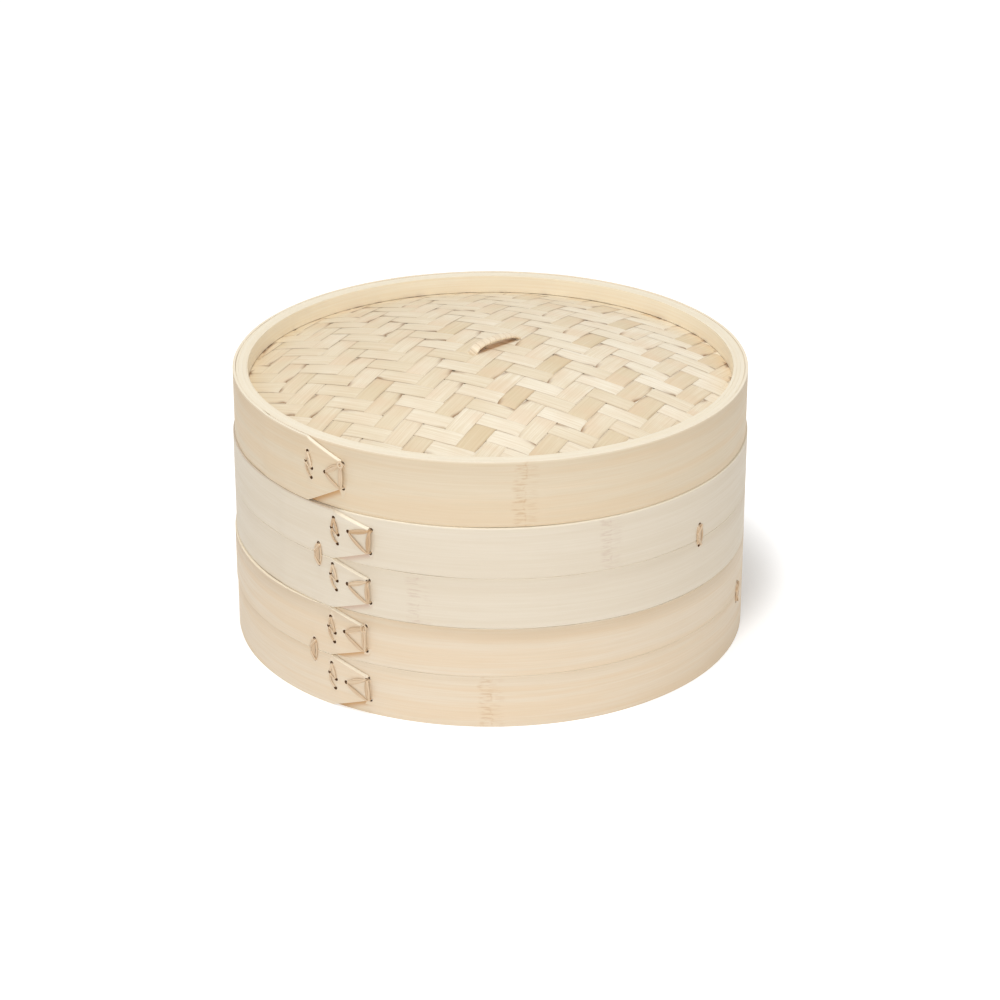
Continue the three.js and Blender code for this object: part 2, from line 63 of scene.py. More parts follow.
# Each band, by the node it stands for: the angle of its pointed end, how far its strip runs over
# its own start, how far the two lacings sit above its middle, the angle of the bamboo's joint, and
# how its cane departs from the plan: the drift of each hole, how deep its tone is, and whether a
# leaf of cane or a knot shows. "sag" is the share of the middle seams' dip that its lower and its
# upper edge have. "lit" is how strong a painted highlight on the corner of its upper edge is,
# "shade" how strong the painted shade below that edge is and how many millimetres it reaches, and
# "ledge" how strong the painted shadow on its upper edge is at the left
BANDS = {
    "lid_outer_band": {
        "body": "lid", "angle": -32.7, "lap": 50 * MM, "rise": 1.8 * MM, "column_rise": 3.0 * MM,
        "finish": "band_lid", "joint": 7.0, "cane_tone": 0.2, "leaf": True,
        "knot": (1.35 * MM, 1.35 * MM, 1.1 * MM),
        "drift": {
            "left": (2.5 * MM, -1.8 * MM), "top": (0.0, -0.6 * MM), "bottom": (0.0, -1.3 * MM),
            "column": (0.7 * MM, -0.5 * MM),
        },
        "sag": (0, 0), "painted_highlight": 0.5, "shade": (0.12, 16.0), "ledge": 0.0,
    },
    "upper_tier_upper_band": {
        "body": "upper_tier", "angle": -26.0, "lap": 50 * MM, "rise": 1.0 * MM,
        "column_rise": 2.2 * MM,
        "finish": "band_pale", "joint": 25.8, "cane_tone": 0.75, "leaf": False, "knot": None,
        "drift": {
            "left": (0.7 * MM, 1.4 * MM), "top": (0.4 * MM, -0.75 * MM),
            "bottom": (-0.3 * MM, -0.9 * MM), "column": (1.3 * MM, 0.0),
        },
        "sag": (1, 0), "painted_highlight": 0.85, "shade": (0.0, 5.0), "ledge": 0.28,
    },
    "upper_tier_lower_band": {
        "body": "upper_tier", "angle": -26.3, "lap": 50 * MM, "rise": 0.4 * MM,
        "column_rise": 3.6 * MM,
        "finish": "band_pale", "joint": -15.5, "cane_tone": 0.35, "leaf": True, "knot": None,
        "drift": {
            "left": (0.45 * MM, 0.3 * MM), "top": (-0.65 * MM, -1.0 * MM),
            "bottom": (0.0, -0.5 * MM), "column": (0.85 * MM, 0.0),
        },
        "sag": (1, 1), "painted_highlight": 0.0, "shade": (0.1, 11.0), "ledge": 0.0,
    },
    "lower_tier_upper_band": {
        "body": "lower_tier", "angle": -27.2, "lap": 150 * MM, "rise": 0.7 * MM,
        "column_rise": 1.4 * MM,
        "finish": "band_warm", "joint": 118.0, "cane_tone": 0.3, "leaf": True,
        "knot": (1.5 * MM, 2.0 * MM, 0.6 * MM),
        "drift": {
            "left": (0.3 * MM, 0.0), "top": (-0.75 * MM, -0.1 * MM),
            "bottom": (-0.45 * MM, -0.95 * MM), "column": (1.0 * MM, -0.1 * MM),
        },
        "sag": (0, 1), "painted_highlight": 0.0, "shade": (0.28, 11.0), "ledge": 0.0,
    },
    "lower_tier_lower_band": {
        "body": "lower_tier", "angle": -26.8, "lap": 120 * MM, "rise": 0.7 * MM,
        "column_rise": 2.6 * MM,
        "finish": "band_warm", "joint": -0.1, "cane_tone": 0.25, "leaf": True, "knot": None,
        "drift": {
            "left": (-0.3 * MM, -0.7 * MM), "top": (-0.7 * MM, -1.25 * MM),
            "bottom": (0.3 * MM, -0.6 * MM), "column": (0.15 * MM, 0.2 * MM),
        },
        "sag": (0, 0), "painted_highlight": 0.0, "shade": (0.12, 5.0), "ledge": 0.0,
    },
}
TIERS = ("lower_tier", "upper_tier")

# The angles of the ties of each tier
TIE_ANGLES = {
    "lower_tier": (-40.5, 73.4, 148.0, 236.0),
    "upper_tier": (-38.8, 51.3, 136.0, 224.0),
}

# The holes of a column lacing, as distance along the band and height over the lacing's middle
COLUMN_HOLES = {
    "top": (-0.8 * MM, 6.4 * MM),
    "left": (-2.1 * MM, 1.1 * MM),
    "right": (1.7 * MM, -1.6 * MM),
    "bottom": (1.2 * MM, -6.4 * MM),
}

# Cane strands between two holes: width, swell in the middle, sideways bow, lift off the band, and
# how far the swell leans towards the first hole
POINT_STRANDS = (
    ("bottom", "top", 1.5 * MM, 1.1, 0.7 * MM, 0.0, 0.0),
    ("bottom", "top", 1.1 * MM, 1.0, -0.75 * MM, 0.2 * MM, 0.0),
    ("left", "bottom", 1.2 * MM, 1.1, -0.75 * MM, 0.0, 0.0),
    ("left", "bottom", 0.8 * MM, 1.0, 0.15 * MM, 0.25 * MM, 0.0),
)
PAIR_STRANDS = (
    ("left", "top", 1.25 * MM, 1.1, 0.5 * MM, 0.05 * MM, 0.0),
    ("left", "top", 1.15 * MM, 1.1, -0.65 * MM, 0.2 * MM, 0.0),
)
LEAF_STRANDS = (
    ("left", "top", 0.9 * MM, 2.5, -0.1 * MM, 0.1 * MM, 0.7),
    ("left", "top", 0.6 * MM, 1.0, 1.2 * MM, 0.3 * MM, 0.0),
)
COLUMN_STRANDS = (
    ("top", "left", 0.9 * MM, 1.2, 0.3 * MM, 0.0, 0.0),
    ("top", "right", 1.1 * MM, 1.3, 0.3 * MM, 0.1 * MM, 0.0),
    ("left", "bottom", 0.9 * MM, 1.1, -0.7 * MM, 0.1 * MM, 0.0),
    ("left", "right", 0.7 * MM, 1.0, 0.0, 0.25 * MM, 0.0),
)
TIE_STRANDS = (
    ("low", "high", 1.3 * MM, 1.0, 1.75 * MM, 0.0, 0.0),
    ("low", "high", 1.3 * MM, 1.0, 0.75 * MM, 0.15 * MM, 0.0),
    ("low", "high", 1.2 * MM, 1.0, -0.2 * MM, 0.05 * MM, 0.0),
    ("low", "high", 1.1 * MM, 1.0, -1.75 * MM, 0.1 * MM, 0.0),
)

# Cane that crosses the strands of a tie: its ends, each as distance along the band and height over
# the seam, its width, and how far it stands over the tie
TIE_CROSSINGS = (
    ((-2.0 * MM, 1.2 * MM), (1.2 * MM, 5.0 * MM), 1.2 * MM),
    ((-1.6 * MM, -1.6 * MM), (1.0 * MM, -5.2 * MM), 1.0 * MM),
)
CROSSING_LIFT = 0.6 * MM

# How tan the woven strips are that differ from the pale ones, by their numbers
TAN_LENGTHWISE = {
    -12: 0.35, -10: 0.45, -8: 0.55, -6: 0.8, -5: 0.3, -4: 0.45, -2: 0.7, 0: 0.9, 3: 0.65, 4: 0.5,
    5: 0.65, 6: 0.35,
}
TAN_CROSSWISE = {-6: 0.5, -4: 0.4, -2: 0.65, 0: 0.5}

# Where the seeds of each kind of piece begin
SEEDS = {
    "hoop": 50, "lid_hoop": 80, "lacing": 100, "knot": 170, "tie": 300, "crossing": 400,
    "slat": 500, "rib": 560, "backing": 7000,
}

# How fine the curved shapes are
BAND_STEPS = 420
HOOP_STEPS_PER_TURN = 130
STRAND_STEPS = 56
KNOT_STEPS = 32
CANE_SIDES = 10
BOARD_STEPS = 60
HANDLE_STEPS = 200
HANDLE_FOOT_STEPS = 13
HANDLE_SIDES = 28
HOLE_SIDES = 14

# How the fibre effect draws each of its patterns: the scale along, across and through a strip, the
# noise's detail and roughness, and the span of the noise over which the pattern rises
GRAIN = {
    "Fibre": ((0.035, 2.2, 2.2), 4.0, 0.65, 0.36, 0.66),
    "Streak": ((0.012, 0.9, 0.9), 4.0, 0.7, 0.3, 0.7),
    "Broad": ((0.006, 0.13, 0.13), 4.0, 0.65, 0.4, 0.62),
    "Patch": ((0.05, 0.03, 0.03), 2.0, 0.5, 0.42, 0.64),
}

# The square lamps: place, width and the stage's value that holds the power
LAMPS = {
    "key_lamp": ((-0.14, -0.22, 1.6), 0.4, "key"),
    "front_lamp": ((-0.12, -1.9, 0.55), 1.4, "fill"),
}


def linear(code):
    """The scene-linear colour of a web colour such as #e8d2ae, with an alpha of 1."""
    shares = [int(code[k : k + 2], 16) / 255 for k in (1, 3, 5)]
    return (*(s / 12.92 if s <= 0.04045 else ((s + 0.055) / 1.055) ** 2.4 for s in shares), 1.0)


def length(name, description, default):
    return bpy.props.FloatProperty(
        name=name, description=description, default=default, unit="LENGTH", precision=5
    )


def number(name, description, default):
    return bpy.props.FloatProperty(name=name, description=description, default=default)


def turn(name, description, degrees):
    return bpy.props.FloatProperty(
        name=name, description=description, default=math.radians(degrees), subtype="ANGLE"
    )


def colour(name, description, code):
    return bpy.props.FloatVectorProperty(
        name=name, description=description, default=linear(code), size=4, min=0, max=1,
        subtype="COLOR",
    )


class SteamerSizes(bpy.types.PropertyGroup):
    """Sizes of the pieces."""

    tier_radius: length("Tier radius", "Outside of the bands of a tier", 127.8 * MM)
    tier_strip: length("Tier strip", "Thickness of a tier's band", 1.6 * MM)
    lid_strip: length("Lid strip", "Thickness of the lid's band", 1.4 * MM)
    lid_inner: length("Lid inner radius", "Inside of the lid's band", 125.6 * MM)
    lap_gap: length("Lap gap", "Space between the two layers of a lap", 0.2 * MM)
    thinned_end: length("Thinned end", "Thickness of a strip's hidden end", 0.4 * MM)
    thinned_share: number("Thinned share", "Share of the lap over which the end thins", 0.75)
    climb: length("Climb", "Length over which the strip climbs its own start", 12 * MM)
    tier_point: length("Tier point", "Length of a tier band's pointed end", 19.5 * MM)
    tier_tip: length("Tier tip", "Half the height of a tier band's blunt tip", 6.4 * MM)
    lid_point: length("Lid point", "Length of the lid band's pointed end", 19.8 * MM)
    pared: length("Pared edge", "Slant of the upper cut of a pointed end", 0.6 * MM)
    lid_tip: length("Lid tip", "Half the height of the lid band's blunt tip", 7.1 * MM)
    arris: length("Rounding", "Radius of a strip's rubbed corners", 0.2 * MM)
    hoop_arris: length("Hoop rounding", "Radius of the corners of a hoop's turns", 0.1 * MM)
    edge_wander: length("Edge wander", "How far a strip's edges stray from straight", 0.07 * MM)
    seam_closing: length("Seam closing", "How far a band's top closes the gap above it", 0.17 * MM)
    band_closing: length("Band closing", "How far a lower band closes its tier's seam", 0.24 * MM)
    seam_sag: length("Seam sag", "How far the middle seams dip at the right", 2.6 * MM)
    hole: length("Hole radius", "Radius of a hole for cane", 1.0 * MM)
    hole_room: length("Hole room", "How far the cane goes in beside a hole's middle", 0.6 * MM)
    tie_room: length("Tie room", "How far a tie's cane goes in beside a hole's middle", 0.25 * MM)
    cane: length("Cane", "Thickness of the cane", 0.7 * MM)
    cane_gap: length("Cane gap", "Space between the cane and what it lies on", 0.12 * MM)
    point_spread: length("Point spread", "Half the height of a point lacing", 6 * MM)
    point_half: length("Point half", "Half the width of a point lacing", 6 * MM)
    point_rise: length("Point rise", "Height of its left hole over its middle", 1.2 * MM)
    hole_inset: length("Hole inset", "How far the outer holes pass the tip", 0.4 * MM)
    column_offset: length("Column offset", "Distance of the column lacing from the tip", 20 * MM)
    tie_spread: length("Tie spread", "Half the height of a seam tie", 5.4 * MM)
    hoop_inner: length("Hoop inner radius", "Inside of a tier's hoops", 120.6 * MM)
    hoop_outer: length("Hoop outer radius", "Outside of a tier's hoops", 125.3 * MM)
    rim_inner: length("Rim inner radius", "Inside of the lid's hoops", 119.8 * MM)
    clamp_outer: length("Clamp radius", "Outside of the lid's hoops", 124.7 * MM)
    hoop_turn_gap: length("Turn gap", "Space between the turns of a hoop", 0.02 * MM)
    mat_crown: length("Mat crown", "Height of the woven dome over its edge", 16 * MM)
    mat_reach: length("Mat reach", "Radius at which the woven strips end", 122.6 * MM)
    mat_relief: length("Mat relief", "How far a strip rises or dips at a crossing", 0.12 * MM)
    mat_strip: length("Mat strip", "Thickness of a woven strip", 0.2 * MM)
    mat_edge: length(
        "Mat edge", "Height of the mat's edge over the floor",
        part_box("lid_woven_top")[1].z - 16.7 * MM,
    )
    weave_turn: turn("Weave turn", "Direction of the lengthwise strips", 62.46)
    weave_skew: turn("Weave skew", "How far the crosswise strips turn off square", 0.8)
    lengthwise_pitch: length("Lengthwise pitch", "Spacing of the lengthwise strips", 11.02 * MM)
    lengthwise_start: length("Lengthwise start", "Offset of lengthwise strip 0", 36.1 * MM)
    crosswise_pitch: length("Crosswise pitch", "Spacing of the crosswise strips", 10.21 * MM)
    crosswise_start: length("Crosswise start", "Offset of the crosswise boundaries", -2.0 * MM)
    weave_gap: length("Weave gap", "Space between neighbouring strips", 0.08 * MM)
    weave_bend: length("Weave bend", "Half the length of a strip's bend", 0.7 * MM)
    weave_pinch: length("Weave pinch", "How far a strip can narrow at a bend", 0.9 * MM)
    backing_pitch: length("Backing pitch", "Spacing of the strips under the weave", 14.5 * MM)
    backing_drop: length("Backing drop", "Depth of the backing under the weave", 1.65 * MM)
    handle_span: length("Handle span", "Distance between the handle's feet", 30 * MM)
    handle_rise: length("Handle rise", "Height of the handle over the mat", 4.9 * MM)
    handle_lean: number("Handle lean", "How much higher its left half arches than its right", 0.2)
    handle_width: length("Handle width", "Width of the wrapped handle", 5.6 * MM)
    handle_thickness: length("Handle thickness", "Thickness of the wrapped handle", 2.2 * MM)
    handle_turn: turn("Handle turn", "Direction of the handle", 44.5)
    handle_shift: length("Handle shift", "How far the handle sits off the centre", 2.3 * MM)
    handle_wraps: number("Handle wraps", "Turns of cane round the handle", 12)
    slat_arris: length("Slat rounding", "Radius of a slat's corners", 0.7 * MM)


class SteamerColours(bpy.types.PropertyGroup):
    """Colours of the bamboo and the cane."""

    lid_pale: colour("Lid band", "Main colour of the lid's band", "#e9dac2")
    lid_deep: colour("Lid band streaks", "Streaks in the lid's band", "#dbc6a4")
    warm_pale: colour("Warm band", "Main colour of the lower tier's bands", "#eddfcb")
    warm_deep: colour("Warm band streaks", "Streaks in the lower tier's bands", "#dfc9a9")
    pale_pale: colour("Pale band", "Main colour of the upper tier's bands", "#eadfcd")
    pale_deep: colour("Pale band streaks", "Streaks in the upper tier's bands", "#dfd0b8")
    hoop_pale: colour("Hoop", "Main colour of the hoops", "#fbf3e0")
    hoop_deep: colour("Hoop streaks", "Streaks in the hoops", "#f1e0c0")
    hoop_cut: colour("Hoop edge", "Cut edges of the hoops", "#eadec7")
    edge_shade: colour("Edge shade", "Shade below the upper edges of the bands", "#b3966f")
    # The cut edges' colour is also the painted highlight on the upper corner of some bands
    cut: colour("Cut edge", "Freshly cut edges of the strips", "#f5ead4")
    band_blush: colour("Band blush", "Warm stretches of the lid's and lower tier's bands", "#e6c8a0")
    # The joint marks' colours also tint the painted shade below the lower cut of each lap
    mark: colour("Joint mark", "Marks where the bamboo had a joint", "#c69a68")
    pale_mark: colour("Pale joint mark", "Joint marks of the upper tier's bands", "#cdb3a0")
    # Dark brown inside the holes; also the colour of the painted ledge shadow and of the painted
    # shade on the backing's upper faces
    bore_and_shade: colour("Hole", "Inside of the holes for cane", "#85603f")
    weave_pale: colour("Crosswise strips", "Main colour of the crosswise strips", "#fff7e5")
    weave_tan: colour("Lengthwise strips", "Main colour of the lengthwise strips", "#fbf1dd")
    weave_deep: colour("Strip fibres", "Fibres of the woven strips", "#d8c29a")
    weave_blush: colour("Strip blush", "Patches on the woven strips", "#e6c8a6")
    # Also the colour of the painted dark dashes, shadows and shade on the woven strips, of the
    # painted shade at the mat's rim, and of the handle's darker grooves and painted underside shade
    weave_edge_and_shade: colour("Strip edge", "Edges of the woven strips", "#85572b")
    # Painted shade on the woven top under the handle
    weave_handle_shade: colour("Worn patch", "The woven top under the handle", "#f0bd7c")
    handle_pale: colour("Handle", "Main colour of the handle's cane", "#f8e9ce")
    cane_pale: colour("Cane", "Main colour of the cane", "#efdcc0")
    cane_deep: colour("Cane fibres", "Fibres of the cane", "#c09c74")
    slat_pale: colour("Slat", "Main colour of the slats", "#ead6ac")
    slat_deep: colour("Slat streaks", "Streaks in the slats", "#d3b47c")


class SteamerStage(bpy.types.PropertyGroup):
    """Camera and light."""

    camera_height: length("Camera height", "Height of the camera", 681.6 * MM)
    camera_distance: length("Camera distance", "Distance of the camera in front", 1367.86 * MM)
    aim_height: length("Aim height", "Height that the camera looks at", 66 * MM)
    focal: number("Focal length", "Focal length in millimetres", 107.2)
    shift_x: number("Shift X", "Sideways shift of the frame", 0.0096)
    shift_y: number("Shift Y", "Upward shift of the frame", -0.0108)
    ambient: number("Ambient", "Strength of the light from all round", 0.6)
    key: number("Key", "Power of the lamp above in watts", 8.1)
    fill: number("Fill", "Power of the lamp in front in watts", 12.6)
    floor: colour("Floor", "Colour of the floor", "#efefef")
    floor_glow: number("Floor glow", "Light added to the floor for the camera only", 0.12)
    far_glow: number("Far glow", "More of that light, outside the shade", 0.32)
    shade_right: length("Shade right", "How far right of the steamer the floor's shade lies", 30 * MM)
    shade_back: length("Shade back", "How far behind the steamer the floor's shade lies", 60 * MM)
    shade_core: length("Shade core", "Radius of the full shade", 105 * MM)
    shade_reach: length("Shade reach", "Radius at which the shade ends", 142 * MM)


# Shapes on grids


def smooth(t):
    """Rises from 0 to 1 while t does, level at both ends: 3 t^2 - 2 t^3."""
    x = np.clip(t, 0.0, 1.0)
    return x * x * (3 - 2 * x)


def wander(x, wavelength, seed):
    """A smooth wave between about -1 and 1: 0.6 times the sum of three sines whose lengths and
    phases are drawn from the seed."""
    rng = np.random.default_rng(seed)
    waves = TAU / (wavelength * rng.uniform(0.6, 1.6, 3))
    phases = rng.uniform(0, TAU, 3)
    return 0.6 * np.sin(np.multiply.outer(np.asarray(x, float), waves) + phases).sum(-1)


def around(angle, radius, height):
    """Points at an angle from the front, at a radius and a height."""
    parts = np.broadcast_arrays(radius * np.sin(angle), -radius * np.cos(angle), height)
    return np.stack(parts, axis=-1)


def unit(vectors):
    """Each vector divided by its length."""
    return vectors / np.linalg.norm(vectors, axis=-1, keepdims=True)


def rounded_profile(inner_steps, outer_steps, hold=0.03):
    """The outline of a rounded rectangle from its inner low corner: each corner is a quarter circle
    and each side a straight row, whose first and last points stand a share hold inside its ends.
    Gives each point's shares across and through the strip, and what is left of its place, in
    corner radii. Cut is 1 on the strip's two edges and 0 on its two faces."""
    corner_steps, edge_steps = 4, 2
    quarter = np.linspace(0, TAU / 4, corner_steps)
    corners = np.array([(0, 0), (1, 0), (1, 1), (0, 1), (0, 0)], float)
    shares, turns = [], []
    for k, steps in enumerate((inner_steps, edge_steps, outer_steps, edge_steps)):
        arc = TAU * (0.5 + 0.25 * k) + quarter
        shares.append(np.repeat(corners[k : k + 1], corner_steps, axis=0))
        turns.append(arc)
        along = np.linspace(hold, 1 - hold, steps)[:, None]
        shares.append(corners[k] + (corners[k + 1] - corners[k]) * along)
        turns.append(np.full(steps, arc[-1]))
    share = np.concatenate(shares)
    angle = np.concatenate(turns)
    offset = 1 - 2 * share + np.stack([np.cos(angle), np.sin(angle)], axis=-1)
    return {"share": share, "offset": offset, "cut": np.abs(np.cos(angle))}


def strip_section(low, high, inner, thickness, profile, arris):
    """Height and radius of a strip's points: each row's limits filled by the profile's shares, with
    corners of radius arris, or less where the strip is thin."""
    rows = (low, high, inner, thickness)
    low, high, inner, thickness = (np.asarray(row, float)[:, None] for row in rows)
    corner = np.minimum(arris, 0.3 * thickness)
    height = low + profile["share"][:, 0] * (high - low) + corner * profile["offset"][:, 0]
    radius = inner + profile["share"][:, 1] * thickness + corner * profile["offset"][:, 1]
    return height, radius


def patch(points, strip, cut=0.0, tone=0.5, kind=0.0, closed=False):
    """A tube of points in rows along a path and columns round it. Its strip coordinates run along,
    across and through the strip, and closed joins its last row to its first."""
    rows, columns = points.shape[:2]
    masks = {"cut": cut, "tone": tone, "kind": kind}
    spread = {name: np.broadcast_to(value, (rows, columns)) for name, value in masks.items()}
    return {"points": points, "strip": strip, "masks": spread, "closed": closed}


def tube_faces(rows, columns, closed):
    """Quads between neighbouring rows and columns, the last column beside the first."""
    row, column = np.meshgrid(
        np.arange(rows if closed else rows - 1), np.arange(columns), indexing="ij"
    )
    after, beside = (row + 1) % rows, (column + 1) % columns
    corners = [(row, column), (row, beside), (after, beside), (after, column)]
    return np.stack([r * columns + c for r, c in corners], axis=-1).reshape(-1, 4)


def inside_out(points, faces):
    """Whether the faces enclose a negative volume: the sum of a . (b x c) over the corners a, b and
    c of their triangles."""
    centred = points - points.mean(axis=0)
    a, b, c, d = (centred[faces[:, k]] for k in range(4))
    volume = (a * np.cross(b, c)).sum() + (a * np.cross(c, d)).sum()
    return volume < 0


def build_mesh(name, patches):
    """One mesh of several tubes. Open tubes are capped, and every face points outwards."""
    starts, corners, first = [], [], 0
    total = 0
    for item in patches:
        rows, columns = item["points"].shape[:2]
        faces = tube_faces(rows, columns, item["closed"])
        caps = []
        if not item["closed"]:
            caps = [np.arange(columns)[::-1], (rows - 1) * columns + np.arange(columns)]
        if inside_out(item["points"].reshape(-1, 3), faces):
            faces = faces[:, ::-1]
            caps = [cap[::-1] for cap in caps]
        starts.append(total + 4 * np.arange(len(faces)))
        corners.append(faces.ravel() + first)
        total += faces.size
        for cap in caps:
            starts.append(np.array([total]))
            corners.append(cap + first)
            total += len(cap)
        first += rows * columns
    mesh = bpy.data.meshes.new(name)
    mesh.vertices.add(first)
    mesh.vertices.foreach_set("co", np.concatenate([p["points"].ravel() for p in patches]))
    mesh.loops.add(total)
    mesh.loops.foreach_set("vertex_index", np.concatenate(corners).astype(np.int32))
    starts = np.concatenate(starts).astype(np.int32)
    mesh.polygons.add(len(starts))
    mesh.polygons.foreach_set("loop_start", starts)
    mesh.update(calc_edges=True)
    strip = mesh.attributes.new("strip", "FLOAT_VECTOR", "POINT")
    strip.data.foreach_set("vector", np.concatenate([p["strip"].ravel() for p in patches]))
    for mask in ("cut", "tone", "kind"):
        values = np.concatenate([p["masks"][mask].ravel() for p in patches])
        mesh.attributes.new(mask, "FLOAT", "POINT").data.foreach_set("value", values)
    mesh.shade_smooth()
    mesh.set_sharp_from_angle(angle=math.radians(60))
    return mesh


def stand(name, data):
    """A new object in the scene, at the origin."""
    made = bpy.data.objects.new(name, data)
    bpy.context.scene.collection.objects.link(made)
    return made


def place(name, patches, finish, body, nodes, slot):
    """A shown piece that rides on a body and stands for CAD nodes."""
    mesh = build_mesh(name, patches)
    mesh.materials.append(bpy.data.materials[finish])
    piece = stand(name, mesh)
    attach(piece, body)
    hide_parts(*nodes)
    return piece


def drill(piece, holes, radius, inner, outer):
    """Cuts round holes along the radius, each at an angle and a height: a circle swept from inner
    to outer. Their walls take the piece's second material."""
    turn_at = TAU * np.arange(HOLE_SIDES) / HOLE_SIDES
    cutters = []
    for angle, height in holes:
        depth = np.array([inner, outer])[:, None]
        points = around(angle, depth, height + radius * np.sin(turn_at)[None, :])
        sideways = np.array([math.cos(angle), math.sin(angle), 0.0])
        points = points + (radius * np.cos(turn_at))[None, :, None] * sideways
        cutters.append(patch(points, points))
    mesh = build_mesh("cutter", cutters)
    mesh.shade_flat()
    mesh.polygons.foreach_set("material_index", np.ones(len(mesh.polygons), np.int32))
    piece.data.materials.append(bpy.data.materials["hole_bamboo"])
    carve(piece, mesh)


def carve(piece, mesh):
    """Takes a closed mesh out of a piece. A cut that fails leaves next to nothing of it, which is
    raised as an error."""
    cutter = stand("cutter", mesh)
    change = piece.modifiers.new("cut", "BOOLEAN")
    change.operation = "DIFFERENCE"
    change.solver = "EXACT"
    change.object = cutter
    graph = bpy.context.evaluated_depsgraph_get()
    result = bpy.data.meshes.new_from_object(piece.evaluated_get(graph), depsgraph=graph)
    if len(result.polygons) < len(piece.data.polygons) / 2:
        raise RuntimeError(f"{piece.name} lost most of its faces when it was cut")
    piece.modifiers.clear()
    piece.data = result
    bpy.data.objects.remove(cutter)


# Wound strips


def winding(inner, thickness, angle, lap, sizes):
    """How a band winds: it starts thinned on the inside, goes round once, climbs over its own start
    and ends on the outside. Gives its limits and functions of the angle along it."""
    end = math.radians(angle)
    start = end - lap / inner - TAU
    thinned = sizes.thinned_share * lap

    def thickness_at(at):
        along = (at - start) * inner
        return sizes.thinned_end + (thickness - sizes.thinned_end) * smooth(along / thinned)

    def inner_at(at):
        under = at - TAU
        climb = sizes.climb / inner
        rise = (sizes.thinned_end + sizes.lap_gap) * smooth((under - start + climb) / climb)
        lapped = thickness_at(under) + sizes.lap_gap
        return inner + np.where(under >= start, lapped, rise)

    def outer_at(at):
        last = at - TAU * np.ceil((at - end) / TAU)
        return inner_at(last) + thickness_at(last)

    return {
        "start": start, "end": end, "thickness": thickness_at, "inner": inner_at, "outer": outer_at
    }


def signed_degrees(angle):
    """An angle in degrees, brought to between -180 and 180."""
    return np.degrees((angle + math.pi) % TAU - math.pi)


def sag_at(angle):
    """The share of their dip that the middle seams have at an angle: it grows smoothly from the
    front to the right and ends smoothly at the back."""
    degrees = signed_degrees(angle)
    return smooth((degrees + 25) / 90) * smooth((175 - degrees) / 100)


def ledge_shadow_at(angle):
    """How strong the painted shadow on a ledge is at an angle: it begins left of the pointed ends
    and fades out towards the back."""
    degrees = signed_degrees(angle)
    return smooth((-32 - degrees) / 4) * smooth((degrees + 170) / 40)


def band_seed(k):
    """The seed of band k. Its strip coordinates begin at as many metres, so that no two bands have
    the same fibres."""
    return 10 * (k + 1)


def band_patch(wound, inner, base, height, mark, point, tip, closing, seed, sizes):
    """The strip of a band: a rounded rectangle carried round the winding, whose edges wander a
    little and close in on the blunt tip, linearly over the length of the point. Its edges dip with
    the middle seams, and its cut edges, a painted highlight on the corner of its upper edge and a
    painted shadow on its upper edge at the left are marked for the finish."""
    point_start = wound["end"] - point / inner
    angles = np.unique(np.concatenate([
        np.linspace(wound["start"], wound["end"] - sizes.arris / inner, BAND_STEPS),
        [point_start, wound["end"]],
    ]))
    along = (angles - wound["start"]) * inner
    taper = np.clip((angles - point_start) / (wound["end"] - point_start), 0, 1)
    middle = base + height / 2 + mark["rise"]
    stray = sizes.edge_wander * (1 - taper)
    low_sag, high_sag = (share * sizes.seam_sag * sag_at(angles) for share in mark["sag"])
    low = base + taper * (middle - tip - base) + stray * np.maximum(0, wander(along, 90 * MM, seed))
    low = low - low_sag
    top = base + height + closing - high_sag
    high_stray = stray * np.minimum(0, wander(along, 110 * MM, seed + 1))
    high = top + taper * (middle + tip - top) + high_stray
    at_end = angles == wound["end"]
    end_round = sizes.arris * at_end
    inside = wound["inner"](angles) + end_round
    thick = wound["thickness"](angles) - 2 * end_round
    profile = rounded_profile(4, 8)
    across, through = profile["share"].T
    heights, radii = strip_section(
        low + end_round, high - end_round, inside, thick, profile, sizes.arris
    )
    pared = sizes.pared * np.clip(taper / 0.06, 0, 1)[:, None] * (taper < 1)[:, None]
    heights = heights - pared * through * smooth((across - 0.5) / 0.5)
    swell = 0.05 * MM * wander(along, 60 * MM, seed + 2)[:, None] * (1 - taper[:, None])
    points = around(angles[:, None], radii + swell, heights)
    # A painted shadow on the upper edge at the left, carried in the kind mask
    ledge = ledge_shadow_at(angles)[:, None] * (across == 1) * (mark["ledge"] > 0)
    # A painted highlight on the corner of the upper edge, carried in the cut mask
    corner = profile["share"].min(axis=1) == 1
    cut = np.maximum(profile["cut"], mark["painted_highlight"] * corner) * (1 - ledge)
    cut = np.maximum(cut, 0.6 * at_end[:, None])
    level = heights - base + low_sag[:, None] * (1 - across) + high_sag[:, None] * across
    strip = np.stack(np.broadcast_arrays(along[:, None] + seed, level, radii - inner), axis=-1)
    return patch(points, strip, cut=cut, kind=ledge)


